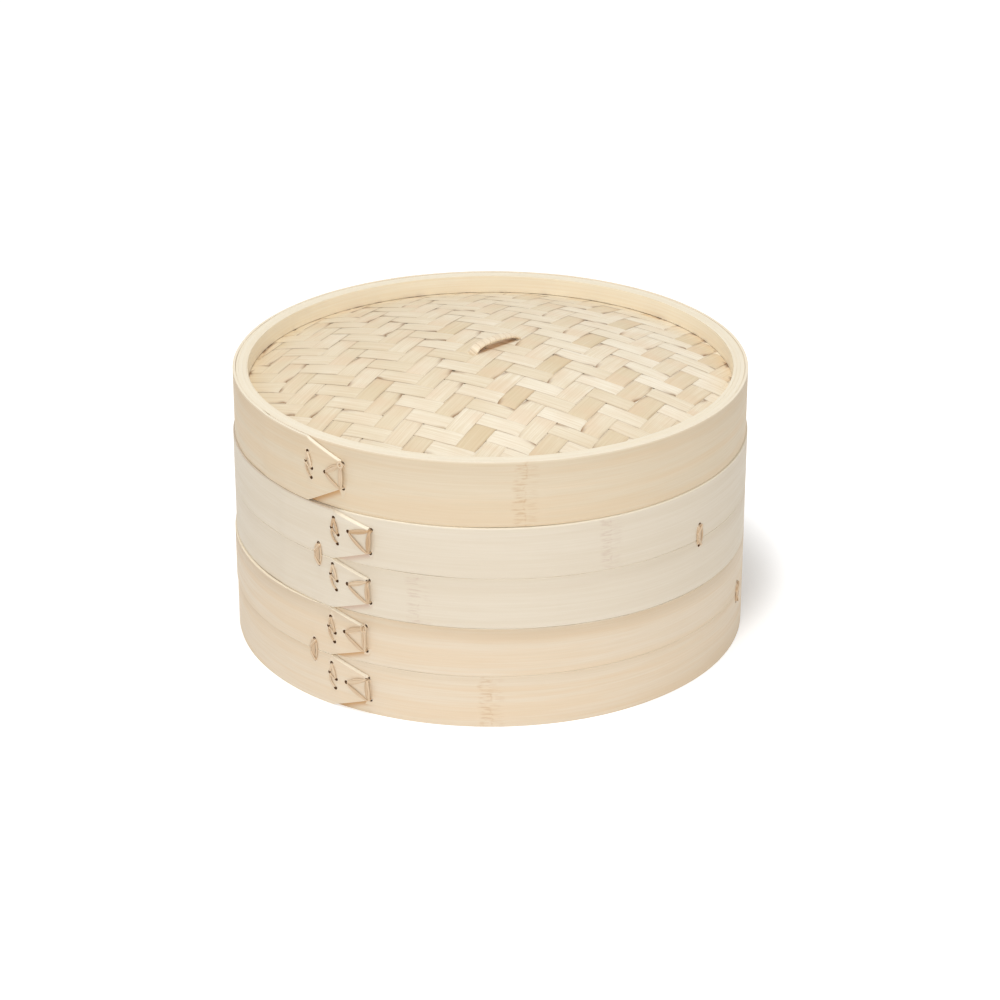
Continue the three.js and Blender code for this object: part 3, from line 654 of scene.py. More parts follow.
def hoop_patch(inner, outer, low, high, turns, start, seed, sizes, hand=1):
    """A hoop of one long strip: its radius grows by one layer each turn, held between the inner and
    outer radius, so that its first turn thickens from nothing and its last thins to nothing. The
    corners of all turns lie on the same rays, so that the turns don't cross."""
    thinnest = 0.12 * MM
    layer = (outer - inner) / turns
    angles = TAU * np.arange(1, HOOP_STEPS_PER_TURN * (turns + 1)) / HOOP_STEPS_PER_TURN
    spiral = inner - layer + layer * angles / TAU
    inside = np.maximum(inner, spiral)
    thick = np.minimum(outer, spiral + layer) - inside - sizes.hoop_turn_gap
    keep = thick > thinnest
    angles, inside, thick = angles[keep], inside[keep], thick[keep]
    along = angles * inner
    top = high - 0.05 * MM * (1 + wander(along, 160 * MM, seed))
    bottom = low + 0.08 * MM * (1 + wander(along, 170 * MM, seed + 1))
    profile = rounded_profile(5, 5)
    heights, radii = strip_section(bottom, top, inside, thick, profile, sizes.hoop_arris)
    points = around(hand * (start + angles[:, None]), radii, heights)
    strip = np.stack(
        np.broadcast_arrays(along[:, None] + seed, heights - low, radii - inner), axis=-1
    )
    tone = 0.5 + 0.5 * np.sin(2.4 * np.floor(angles / TAU))[:, None]
    return patch(points, strip, cut=0.8 * profile["cut"], tone=tone)


# Cane


def signed_power(x, power):
    return np.sign(x) * np.abs(x) ** power


def cane_loop(path, side, flat_side, flat_out, strip, tone):
    """A closed loop of cane: a section carried along a path, with flat_side for the places of its
    points across it and flat_out for those off it."""
    tangent = unit(np.roll(path, -1, axis=0) - np.roll(path, 1, axis=0))
    side = unit(side - (side * tangent).sum(-1, keepdims=True) * tangent)
    normal = np.cross(side, tangent)
    across = side[:, None] * flat_side[..., None]
    points = path[:, None] + across + normal[:, None] * flat_out[..., None]
    strip = np.stack(np.broadcast_arrays(strip[:, None], flat_side, flat_out), axis=-1)
    return patch(points, strip, tone=tone, closed=True)


def cane_section(width, thickness):
    """Places across and off the cane of a flat superellipse, for each width."""
    sweep = TAU * np.arange(CANE_SIDES) / CANE_SIDES
    flat_side = signed_power(np.cos(sweep), 0.7)[None, :] * width / 2
    flat_out = signed_power(np.sin(sweep), 0.9)[None, :] * thickness / 2
    return flat_side, flat_out


def tangential(angle):
    """The directions along a band at each angle."""
    return np.stack([np.cos(angle), np.sin(angle), np.zeros_like(angle)], axis=-1)


def strand_patch(angle, start, stop, back, front, width, swell, bow, lean, room, sizes, seed, tone):
    """A closed loop of flat cane through two holes near an angle, each given as distance along the
    band and height: a superellipse of the fifth order over the line between the holes and the
    radii from back to front. Its outer run bows sideways and swells by 1 - x^2, where x runs from
    -1 to 1 between the holes, and the swell leans to one end by a share of x."""
    start, stop = np.array(start), np.array(stop)
    run = stop - start
    ahead = run / np.linalg.norm(run)
    span = np.linalg.norm(run) - 2 * room
    aside = np.array([-ahead[1], ahead[0]])
    at = TAU * np.arange(STRAND_STEPS) / STRAND_STEPS
    x, y = signed_power(np.cos(at), 0.4), signed_power(np.sin(at), 0.4)
    shown = np.clip(y, 0, 1) * (1 - x * x)
    mid = (start + stop) / 2
    flat = mid + ahead * (x * span / 2)[:, None] + aside * (bow * shown)[:, None]
    radius = (back + front) / 2 + y * (front - back) / 2
    angles = angle + flat[:, 0] / front
    path = around(angles, radius, flat[:, 1])
    side = aside[0] * tangential(angles) + aside[1] * np.array([0, 0, 1.0])
    wide = width * (1 + (swell - 1) * shown * (1 - lean * x))[:, None]
    flat_side, flat_out = cane_section(wide, sizes.cane)
    return cane_loop(path, side, flat_side, flat_out, np.abs(x) * span + seed, tone)


def knot_patch(angle, centre, knot, front, sizes, seed, tone):
    """A ring of cane that lies on a band round a point: an ellipse whose right half stands a little
    higher."""
    half_width, half_height, width = knot
    at = TAU * np.arange(KNOT_STEPS) / KNOT_STEPS
    angles = angle + (centre[0] + half_width * np.cos(at)) / front
    radius = front + sizes.cane * (0.4 + 0.2 * np.cos(at))
    path = around(angles, radius, centre[1] + half_height * np.sin(at))
    side = np.cos(at)[:, None] * tangential(angles) + np.sin(at)[:, None] * np.array([0, 0, 1.0])
    flat_side, flat_out = cane_section(width, sizes.cane)
    flat_side = np.repeat(flat_side, len(at), axis=0)
    return cane_loop(path, side, flat_side, flat_out, half_width * at + seed, tone)


def lacing_plan(inner, thickness, base, height, mark, sizes):
    """Where a band's two lacings sit: the angle of each and its holes, by name, as distance along
    the band and height."""
    outer = inner + 2 * thickness + sizes.lap_gap
    point_height = base + height / 2 + mark["rise"]
    column_height = base + height / 2 + mark["column_rise"]
    tip = math.radians(mark["angle"])
    half, spread = sizes.point_half, sizes.point_spread
    point = {
        "left": (-half, point_height + sizes.point_rise),
        "top": (half, point_height + spread),
        "bottom": (half, point_height - spread),
    }
    drift = mark["drift"]
    aside, up = drift["column"]
    return {
        "back": inner - sizes.cane_gap - sizes.cane / 2,
        "front": outer + sizes.cane_gap + sizes.cane / 2,
        "point_angle": tip + (sizes.hole_inset - half) / outer,
        "column_angle": tip + (sizes.hole_inset - sizes.column_offset) / outer,
        "point": {
            name: (along + drift[name][0], at + drift[name][1]) for name, (along, at) in point.items()
        },
        "column": {
            name: (along + aside, column_height + rise + up)
            for name, (along, rise) in COLUMN_HOLES.items()
        },
    }


def laced(angle, holes, strands, back, front, room, seed, tone, sizes, fan=0.0):
    """Several strands of cane between named holes, each bowed a little differently. They go in at a
    distance room from a hole's middle, and their ends spread by the share fan of the bow."""
    rng = np.random.default_rng(seed)
    made = []
    for k, (start, stop, width, swell, bow, lift, lean) in enumerate(strands):
        sway = bow + rng.uniform(-0.15, 0.15) * MM
        first, last = (np.array(holes[name]) - (fan * bow, 0) for name in (start, stop))
        made.append(strand_patch(
            angle, first, last, back, front + lift, width * rng.uniform(0.9, 1.1), swell,
            (1 - fan) * sway, lean, room, sizes, seed * 10 + k, tone + rng.uniform(-0.2, 0.2),
        ))
    return made


# Weaving


def weave_state(lengthwise, crosswise):
    """A 2/2 twill: 1 where a lengthwise strip passes over a crosswise one, -1 where under."""
    return np.where((lengthwise + crosswise) % 4 % 3 == 0, 1, -1)


def plain_state(lengthwise, crosswise):
    """A plain weave: over and under in turn."""
    return np.where((lengthwise + crosswise) % 2 == 0, 1, -1)


def woven_strip(ahead, aside, centre, width, bounds, states, mat, seed, tan, fade, along):
    """One strip across the mat's circle. Its height is the dome, plus the relief times a wave that
    goes smoothly from one state to the next just before it dips at a bound or after it rises, plus
    a slight crown. Its section is a thin lens cut flat, and at some bends one edge draws in by a
    bell curve. A strongly drawn edge gets a painted dark dash, the shade of the opening there, and
    a tan strip's edges get painted shadow by bells along the half of each float that lies beside a
    bend. The mat's shares paint shade on its upper face and on its sides and underside. Its tone
    nears fade towards the left and the back, and keeps its own towards the front and the right,
    paler on the pale strips: a painted sheen.
    """
    rng = np.random.default_rng(seed)
    across = np.array([-1, -0.97, -0.9, -0.75, -0.5, 0.5, 0.75, 0.9, 0.97, 1, 0.95, -0.95])
    level = np.array([0, 0.75, 0.95, 0.99, 1, 1, 0.99, 0.95, 0.75, 0, -1, -1])
    width = width * rng.uniform(0.985, 1.0)
    centre = centre + rng.uniform(-0.06, 0.06) * MM
    offset = centre + across * width / 2
    inside = np.clip(offset, -mat["reach"] + 1 * MM, mat["reach"] - 1 * MM)
    half = np.sqrt(mat["reach"] ** 2 - inside**2)
    beside = mat["bend"] * np.array([-5, -1.5, -1, -0.5, 0, 0.5, 1, 1.5, 5])
    near = (bounds[:, None] + beside).ravel()
    share = np.unique(np.round(near / half.max(), 4))
    share = np.concatenate([[-1], share[np.abs(share) < 0.995], [1]])
    u = share[:, None] * half
    v = inside + 0.1 * MM * wander(u, 120 * MM, seed + 1)
    wave = np.full(u.shape, float(states[0]))
    shade = np.zeros(np.broadcast_shapes(u.shape, across.shape))
    marks = np.zeros_like(shade)
    pitch = bounds[1] - bounds[0]
    for bound, before, after in zip(bounds, states[:-1], states[1:]):
        if before != after:
            up = np.sign(after - before)
            wave += 2 * up * smooth((u - bound - 0.5 * up * mat["bend"]) / (2 * mat["bend"]) + 0.5)
            side = rng.choice((-1, 1))
            drawn = rng.uniform(0, 1) ** 2
            bell = np.exp(-(((u - bound) / mat["bell"]) ** 2))
            v = v - side * drawn * mat["pinch"] * np.clip(side * across, 0, 1) * bell
            dash = np.exp(-(((u - bound - 0.5 * up * mat["bell"]) / mat["bell"]) ** 2))
            strong = smooth((drawn - 0.45) / 0.3) * smooth((side * across - 0.6) / 0.3)
            marks += mat["mark"] * strong * dash
            float_half = np.exp(-(((u - bound) / pitch - 0.5 * up) / 0.42) ** 2)
            shade += rng.uniform(0.2, 0.8) * np.clip(up * across, 0, 1) ** 12 * float_half
    x = ahead[0] * u + aside[0] * v
    y = ahead[1] * u + aside[1] * v
    dome = mat["edge"] + mat["crown"] * (1 - (x * x + y * y) / mat["edge_radius"] ** 2)
    curl = rng.uniform(0.0, 0.05) * MM * (1 - across**2)
    lift = mat["relief"] * wave + curl + 0.02 * MM * wander(u, 23 * MM, seed + 2)
    z = dome + lift + level * mat["strip"] / 2
    strip = np.stack(np.broadcast_arrays(u + seed * 0.37, v - centre, z - dome), axis=-1)
    # A painted sheen: the tone keeps its own towards the front and the right and nears fade towards
    # the left and the back
    sheen_side = smooth((0.85 * x - 0.5 * y) / (1.8 * mat["reach"]) + 0.5)
    own = max(tan, 0.08) + rng.uniform(-0.07, 0.07)
    tone = own + (fade - own) * 0.85 * (1 - sheen_side) + 0.1 * wander(u, 60 * MM, seed + 3)
    tone = np.clip(tone, 0, 1)
    # The edge mask: darker edges on tan strips, painted dark dashes and painted shadow by the bends,
    # and painted shade on the upper face and on the sides and underside, by the mat's shares
    edge = 0.35 * tone * np.abs(across) ** 12 + marks + (shade if along else 0) * tan
    edge = np.maximum(np.clip(edge, 0, 1), np.where(level > 0, mat["face_shade"], mat["wall_shade"]))
    return np.stack([x, y, z], axis=-1), strip, edge, tone


def mat_patches(mat, lengthwise, crosswise, state):
    """Two families of strips woven through each other. Each family has its pitch, the offset of
    strip 0, how tan some of its strips are and the tone that they fade to."""
    ahead = np.array([math.cos(mat["turn"]), math.sin(mat["turn"])])
    square = mat["turn"] - mat["skew"]
    aside = np.array([math.sin(square), -math.cos(square)])
    count = int(mat["reach"] / min(lengthwise["pitch"], crosswise["pitch"])) + 6
    numbers = np.arange(-count, count + 1)
    edge_margin = 2 * MM
    made = []
    for family, other, along, over, sign in (
        (lengthwise, crosswise, ahead, aside, 1),
        (crosswise, lengthwise, aside, ahead, -1),
    ):
        bounds = other["centre"] + other["pitch"] * (numbers[1:] - 0.5)
        for k in numbers:
            centre = family["centre"] + family["pitch"] * k
            if abs(centre) - family["pitch"] / 2 > mat["reach"] - edge_margin:
                continue
            states = sign * (state(k, numbers) if sign > 0 else state(numbers, k))
            width = family["pitch"] - mat["gap"]
            seed = int(k + count) + (1000 if sign > 0 else 2000) + mat["seed"]
            points, strip, edge, tone = woven_strip(
                along, over, centre, width, bounds, states, mat, seed, family["tan"].get(k, 0.0),
                family["fade"], sign > 0,
            )
            made.append(patch(points, strip, cut=edge, tone=tone, kind=float(sign > 0)))
    return made


# Floors and handle


def board_patch(length_at, centre, width, low, thickness, arris, seed, lengthwise_y=False):
    """A board along X, or along Y: a rounded rectangle whose ends stand where length_at gives half
    the length at each distance from the middle line."""
    profile = rounded_profile(4, 4, hold=0.06)
    side = centre - width / 2 + profile["share"][:, 0] * width + arris * profile["offset"][:, 0]
    up = low + profile["share"][:, 1] * thickness + arris * profile["offset"][:, 1]
    half = length_at(side)
    u = np.linspace(-1, 1, BOARD_STEPS)[:, None] * half
    parts = np.broadcast_arrays(u, side + 0.15 * MM * wander(u, 130 * MM, seed), up)
    if lengthwise_y:
        parts = (parts[1], parts[0], parts[2])
    points = np.stack(parts, axis=-1)
    strip = np.stack(np.broadcast_arrays(u + seed * 0.31, side - centre, up - low), axis=-1)
    tone = np.random.default_rng(seed).uniform(0, 1)
    return patch(points, strip, cut=0.3 * profile["cut"], tone=tone)


def handle_patch(sizes, crown_height, foot):
    """The wrapped handle: an oval carried over half a superellipse between two straight feet, with
    a groove that winds round it once for each wrap, painted darker, and painted shade on its
    underside where it lies level."""
    reach = sizes.handle_span / 2
    rise = sizes.handle_rise - sizes.handle_thickness / 2
    at = np.linspace(0, math.pi, HANDLE_STEPS)
    feet = np.linspace(foot, 0, HANDLE_FOOT_STEPS + 1)[:-1]
    level, high = signed_power(np.cos(at), 0.9), signed_power(np.sin(at), 0.9)
    end = np.full(HANDLE_FOOT_STEPS, reach)
    u = np.concatenate([-end, -reach * level, end])
    z = np.concatenate([-feet, rise * high * (1 + sizes.handle_lean * level), -feet[::-1]])
    along = np.array([math.cos(sizes.handle_turn), math.sin(sizes.handle_turn), 0])
    across = np.array([-along[1], along[0], 0])
    up = np.array([0, 0, 1.0])
    step_u, step_z = np.gradient(u), np.gradient(z)
    travel = np.concatenate([[0], np.cumsum(np.hypot(np.diff(u), np.diff(z)))])
    forward = unit(step_u[:, None] * along + step_z[:, None] * up)
    outward = np.cross(forward, across)
    sweep = TAU * np.arange(HANDLE_SIDES) / HANDLE_SIDES
    turns = sizes.handle_wraps * travel[:, None] / travel[-1] + sweep[None, :] / TAU
    near = np.abs(turns % 1 - 0.5) * 2
    groove = smooth((near - 0.8) / 0.2)
    wide = sizes.handle_width / 2 - 0.3 * MM * groove
    thick = sizes.handle_thickness / 2 - 0.3 * MM * groove
    side = wide * signed_power(np.cos(sweep), 0.8)
    out = thick * signed_power(np.sin(sweep), 0.8)
    shift = np.array([sizes.handle_shift, sizes.handle_shift, crown_height])
    path = shift + u[:, None] * along + z[:, None] * up
    points = path[:, None] + side[..., None] * across + out[..., None] * outward[:, None]
    strip = np.stack([
        np.broadcast_to(sweep * sizes.handle_width / 2, turns.shape), turns * 3 * MM, turns * 0
    ], axis=-1)
    lying = (step_u / np.hypot(step_u, step_z))[:, None]
    # Painted shade on the underside where the handle lies level
    under = smooth(-0.2 - np.sin(sweep) / 0.7) * smooth(2 * lying - 1)
    dark = np.maximum(0.3 * groove, under)
    return patch(points, strip, cut=dark, tone=np.sin(np.floor(turns) * 2.4) * 0.5 + 0.5)


# Materials


class Nodes:
    """Adds nodes to a tree and links them."""

    def __init__(self, tree):
        self.tree = tree

    def add(self, kind, inputs=(), **settings):
        """A node with its settings, its inputs linked or set by name or number."""
        node = self.tree.nodes.new(kind)
        for name, value in settings.items():
            setattr(node, name, value)
        for name, value in dict(inputs).items():
            if isinstance(value, bpy.types.NodeSocket):
                self.tree.links.new(value, node.inputs[name])
            else:
                node.inputs[name].default_value = value
        return node

    def group(self, name, **inputs):
        """The outputs of a node group that gets these inputs."""
        return self.add("ShaderNodeGroup", inputs, node_tree=bpy.data.node_groups[name]).outputs

    def maths(self, operation, *values):
        return self.add("ShaderNodeMath", enumerate(values), operation=operation).outputs[0]

    def times(self, first, second):
        return self.maths("MULTIPLY", first, second)

    def plus(self, first, second):
        return self.maths("ADD", first, second)

    def minus(self, first, second):
        return self.maths("SUBTRACT", first, second)

    def vector(self, operation, *values):
        return self.add("ShaderNodeVectorMath", enumerate(values), operation=operation).outputs[0]

    def scaled(self, vector, scale):
        return self.vector("MULTIPLY", vector, scale)

    def length(self, vector):
        return self.add("ShaderNodeVectorMath", {0: vector}, operation="LENGTH").outputs["Value"]

    def parts(self, vector):
        """The X, Y and Z of a vector, by name."""
        return self.add("ShaderNodeSeparateXYZ", {0: vector}).outputs

    def span(self, value, low, high, to_low=0.0, to_high=1.0):
        """Smoothly takes low to high to another span."""
        inputs = {
            "Value": value, "From Min": low, "From Max": high, "To Min": to_low, "To Max": to_high
        }
        node = self.add("ShaderNodeMapRange", inputs, interpolation_type="SMOOTHSTEP")
        return node.outputs["Result"]

    def fade(self, value, low, high, full=1.0):
        """Falls smoothly from full to 0 while the value rises from low to high."""
        return self.span(value, low, high, full, 0.0)

    def noise(self, vector, detail=2.0, roughness=0.5):
        inputs = {"Vector": vector, "Scale": 1.0, "Detail": detail, "Roughness": roughness}
        return self.add("ShaderNodeTexNoise", inputs).outputs["Fac"]

    def drawn(self, vector, scale, start, detail, roughness=0.5):
        """Noise drawn out by a scale for each axis, beginning at a start of its own."""
        moved = self.vector("ADD", self.scaled(vector, scale), start)
        return self.noise(moved, detail, roughness)

    def mix(self, factor, first, second):
        """Two colours mixed by a factor."""
        inputs = {0: factor, 6: first, 7: second}
        return self.add("ShaderNodeMix", inputs, data_type="RGBA").outputs[2]

    def attribute(self, name, output="Fac"):
        return self.add("ShaderNodeAttribute", attribute_name=name).outputs[output]

    def seen(self):
        """Light Path's outputs, and 1 for rays from the camera, also mirrored or through glass."""
        path = self.add("ShaderNodeLightPath").outputs
        looked = self.maths("MAXIMUM", path["Is Camera Ray"], path["Is Glossy Ray"])
        return path, self.maths("MAXIMUM", looked, path["Is Transmission Ray"])


def emptied(owner):
    """A Nodes for the emptied node tree of a new material or world."""
    owner.use_nodes = True
    owner.node_tree.nodes.clear()
    return Nodes(owner.node_tree)


def effect(name, vectors, numbers, outputs):
    """A new node group with named sockets: a Nodes for its inside, and its inputs by name."""
    tree = bpy.data.node_groups.new(name, "ShaderNodeTree")
    for kind, names in (("NodeSocketVector", vectors), ("NodeSocketFloat", numbers)):
        for socket in names:
            tree.interface.new_socket(socket, in_out="INPUT", socket_type=kind)
    for socket in outputs:
        tree.interface.new_socket(socket, in_out="OUTPUT", socket_type="NodeSocketFloat")
    nodes = Nodes(tree)
    return nodes, nodes.add("NodeGroupInput").outputs


def fibre_effect():
    """Fine fibres, fine and broad streaks and soft patches drawn out along a strip, from its
    coordinates in millimetres."""
    nodes, given = effect("bamboo_fibre", ("Strip",), ("Seed",), GRAIN)
    seed = nodes.add("ShaderNodeCombineXYZ", {"X": given["Seed"], "Y": given["Seed"]}).outputs[0]
    nodes.add("NodeGroupOutput", {
        name: nodes.span(nodes.drawn(given["Strip"], scale, seed, detail, roughness), low, high)
        for name, (scale, detail, roughness, low, high) in GRAIN.items()
    })


def joint_effect():
    """The mark of a joint in the bamboo, from a strip's coordinates in millimetres: short streaks
    along the strip in a ragged zone a few millimetres wide, with a thin broken line beside it, on
    a faint swelling."""
    nodes, given = effect("bamboo_joint", ("Strip",), ("Place", "Seed"), ("Mark", "Swell"))
    seed = nodes.add("ShaderNodeCombineXYZ", {"X": given["Seed"], "Z": given["Seed"]}).outputs[0]

    def drawn(scale, detail=2.0):
        return nodes.drawn(given["Strip"], scale, seed, detail)

    def apart(place):
        return nodes.maths("ABSOLUTE", nodes.minus(away, place))

    sway = nodes.times(nodes.minus(drawn((0.02, 0.25, 0.0), 3.0), 0.5), 6.0)
    away = nodes.plus(nodes.minus(nodes.parts(given["Strip"])["X"], given["Place"]), sway)
    zone = nodes.fade(apart(-2.0), 1.0, 4.0)
    beside = nodes.fade(apart(3.0), 1.5, 5.0, 0.45)
    streaks = nodes.times(nodes.plus(zone, beside), nodes.span(drawn((0.16, 1.1, 0.2)), 0.42, 0.66))
    broken = nodes.span(drawn((0.3, 0.5, 0.2)), 0.45, 0.6)
    line = nodes.times(nodes.fade(apart(0.6), 0.1, 0.7, 0.5), broken)
    swell = nodes.fade(apart(0.0), 1.0, 6.5)
    nodes.add("NodeGroupOutput", {"Mark": nodes.plus(streaks, line), "Swell": swell})


def stain_effect():
    """Painted shade on the woven top, from coordinates in millimetres that start at the handle's
    middle: broken marks along the hoop round it, whose middle is at Centre, and a warm patch
    under the handle, which is turned by Turn."""
    nodes, given = effect("mat_stains", ("Place", "Centre"), ("Turn",), ("Rim", "Worn"))
    outward = nodes.vector("SUBTRACT", given["Place"], given["Centre"])
    radius = nodes.length(nodes.scaled(outward, (1, 1, 0)))
    broken = nodes.span(nodes.noise(nodes.scaled(given["Place"], (0.11, 0.11, 0)), 3.0), 0.52, 0.6)
    rim = nodes.times(nodes.span(radius, 117.0, 119.5), broken)
    turned = nodes.add("ShaderNodeVectorRotate", {
        "Vector": given["Place"], "Angle": nodes.times(given["Turn"], -1.0),
    }, rotation_type="Z_AXIS").outputs[0]
    parts = nodes.parts(turned)
    lengthwise = nodes.fade(nodes.maths("ABSOLUTE", parts["X"]), 9.0, 14.5)
    sideways = nodes.fade(nodes.maths("ABSOLUTE", parts["Y"]), 1.2, 3.8)
    nodes.add("NodeGroupOutput", {"Rim": rim, "Worn": nodes.times(lengthwise, sideways)})


def lap_effect():
    """A brown shade on the inner layer of a lap, from the strip's coordinates in millimetres: it
    lies just below the straight line from Begin at height 0 to Begin + Length at height Rise,
    fades over a few millimetres and ends at the line's ends."""
    nodes, given = effect("lap_shade", ("Strip",), ("Begin", "Length", "Rise"), ("Shade",))
    parts = nodes.parts(given["Strip"])
    along = nodes.maths("DIVIDE", nodes.minus(parts["X"], given["Begin"]), given["Length"])
    line = nodes.times(nodes.maths("MINIMUM", along, 1.0), given["Rise"])
    depth = nodes.minus(line, parts["Y"])
    below = nodes.times(nodes.fade(depth, 0.5, 4.5), nodes.span(depth, -1.5, -0.5))
    between = nodes.times(nodes.span(along, -0.08, 0.06), nodes.fade(along, 1.0, 1.12))
    nodes.add("NodeGroupOutput", {"Shade": nodes.times(below, between)})


def top_effect():
    """A soft shade below the upper edge of a strip, which lies at Height, from the strip's
    coordinates in millimetres. It ends at the depth Reach and is a little uneven."""
    nodes, given = effect("top_shade", ("Strip",), ("Height", "Reach"), ("Shade",))
    below = nodes.minus(given["Height"], nodes.parts(given["Strip"])["Y"])
    depth = nodes.maths("DIVIDE", below, given["Reach"])
    uneven = nodes.noise(nodes.scaled(given["Strip"], (0.02, 0.05, 0.0)))
    uneven = nodes.span(uneven, 0.3, 0.7, 0.75, 1.15)
    nodes.add("NodeGroupOutput", {"Shade": nodes.times(nodes.fade(depth, 0.0, 1.0), uneven)})


def bamboo_finish(name, pale, deep, cut, seed, fibre=0.3, streak=0.5, cut_share=0.6, **more):
    """A bamboo finish: streaks and fibres of a deeper colour, cut edges of their own colour and a
    tone for each strip. Where asked for it has a second kind of strip, blushes, the mark of a
    joint, painted shade below its upper edge and beside its lap, painted shade on the woven top
    at its rim and under the handle, and a painted shadow on a ledge. Roughness and bump follow
    the fibres."""
    material = bpy.data.materials.new(name)
    nodes = emptied(material)
    strip = nodes.scaled(nodes.attribute("strip", "Vector"), (IN_MM, IN_MM, IN_MM))
    grain = nodes.group("bamboo_fibre", Strip=strip, Seed=seed)
    toned = nodes.times(nodes.attribute("tone"), more.get("tone", 0.3))
    first = pale
    if "second" in more:
        kind = nodes.attribute("kind")
        first = nodes.mix(kind, pale, more["second"])
        toned = nodes.times(toned, nodes.span(kind, 0.0, 1.0, more["first_tone"], 1.0))
    depth = nodes.plus(nodes.times(grain["Streak"], streak), toned)
    base = nodes.mix(nodes.maths("MINIMUM", depth, 1.0), first, deep)
    base = nodes.mix(nodes.times(grain["Fibre"], fibre), base, deep)
    if "blush" in more:
        blush = nodes.times(grain[more["blush_form"]], more["blush_share"])
        if "second" in more:
            blush = nodes.times(blush, nodes.span(kind, 0.0, 1.0, 0.4, 1.0))
        base = nodes.mix(blush, base, more["blush"])
    height = nodes.times(grain["Fibre"], 0.5)
    if "joint" in more:
        joint = nodes.group("bamboo_joint", Strip=strip, Place=more["joint"], Seed=seed)
        base = nodes.mix(nodes.times(joint["Mark"], more["joint_share"]), base, more["mark"])
        height = nodes.plus(height, nodes.times(joint["Mark"], -0.5))
        height = nodes.plus(height, nodes.times(joint["Swell"], 2.0))
    if "top" in more:
        top = nodes.group("top_shade", Strip=strip, **more["top"])
        base = nodes.mix(nodes.times(top["Shade"], more["top_share"]), base, more["shade"])
    # Painted shade below the lap's lower cut, in the joint mark's colour
    if "lap" in more:
        lap = nodes.group("lap_shade", Strip=strip, **more["lap"])
        base = nodes.mix(nodes.times(lap["Shade"], more["lap_share"]), base, more["mark"])
    # Painted shade on the woven top at its rim and under the handle
    if "stain" in more:
        x, y, turned, warm = more["stain"]
        where = nodes.add("ShaderNodeTexCoord").outputs["Object"]
        where = nodes.vector("SUBTRACT", nodes.scaled(where, (IN_MM, IN_MM, IN_MM)), (x, y, 0))
        stain = nodes.group("mat_stains", Place=where, Centre=(-x, -y, 0), Turn=turned)
        base = nodes.mix(nodes.times(stain["Rim"], 0.7), base, cut)
        base = nodes.mix(nodes.times(stain["Worn"], 0.85), base, warm)
    base = nodes.mix(nodes.times(nodes.attribute("cut"), cut_share), base, cut)
    # A painted shadow on the ledge, in the holes' colour, from the kind mask
    if "ledge" in more:
        ledge = nodes.times(nodes.attribute("kind"), more["ledge"])
        base = nodes.mix(ledge, base, more["ledge_hue"])
    smoothest = more.get("rough", 0.5)
    rough = nodes.span(grain["Fibre"], 0.0, 1.0, smoothest, smoothest + 0.15)
    bump = nodes.add("ShaderNodeBump", {
        "Strength": more.get("bump", 0.35), "Distance": 0.1 * MM, "Height": height,
    })
    shader = nodes.add("ShaderNodeBsdfPrincipled", {
        "Base Color": base, "Roughness": rough, "Normal": bump.outputs[0],
        "Specular IOR Level": 0.35,
    })
    nodes.add("ShaderNodeOutputMaterial", {"Surface": shader.outputs[0]})


# Operators


def wound_band(name, sizes):
    """Base, height, inside radius, strip thickness, point length and tip of a band."""
    low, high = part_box(name)
    if name.startswith("lid"):
        strip = (sizes.lid_inner, sizes.lid_strip, sizes.lid_point, sizes.lid_tip)
    else:
        inner = sizes.tier_radius - sizes.tier_strip
        strip = (inner, sizes.tier_strip, sizes.tier_point, sizes.tier_tip)
    return (low.z, high.z - low.z, *strip)


def tie_holes(tier, sizes):
    """The seam of a tier and the angle and height of each hole of its ties."""
    seam = (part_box(f"{tier}_lower_band")[1].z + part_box(f"{tier}_upper_band")[0].z) / 2
    spread = sizes.tie_spread
    holes = [(math.radians(a), seam + side) for a in TIE_ANGLES[tier] for side in (-spread, spread)]
    return seam, holes


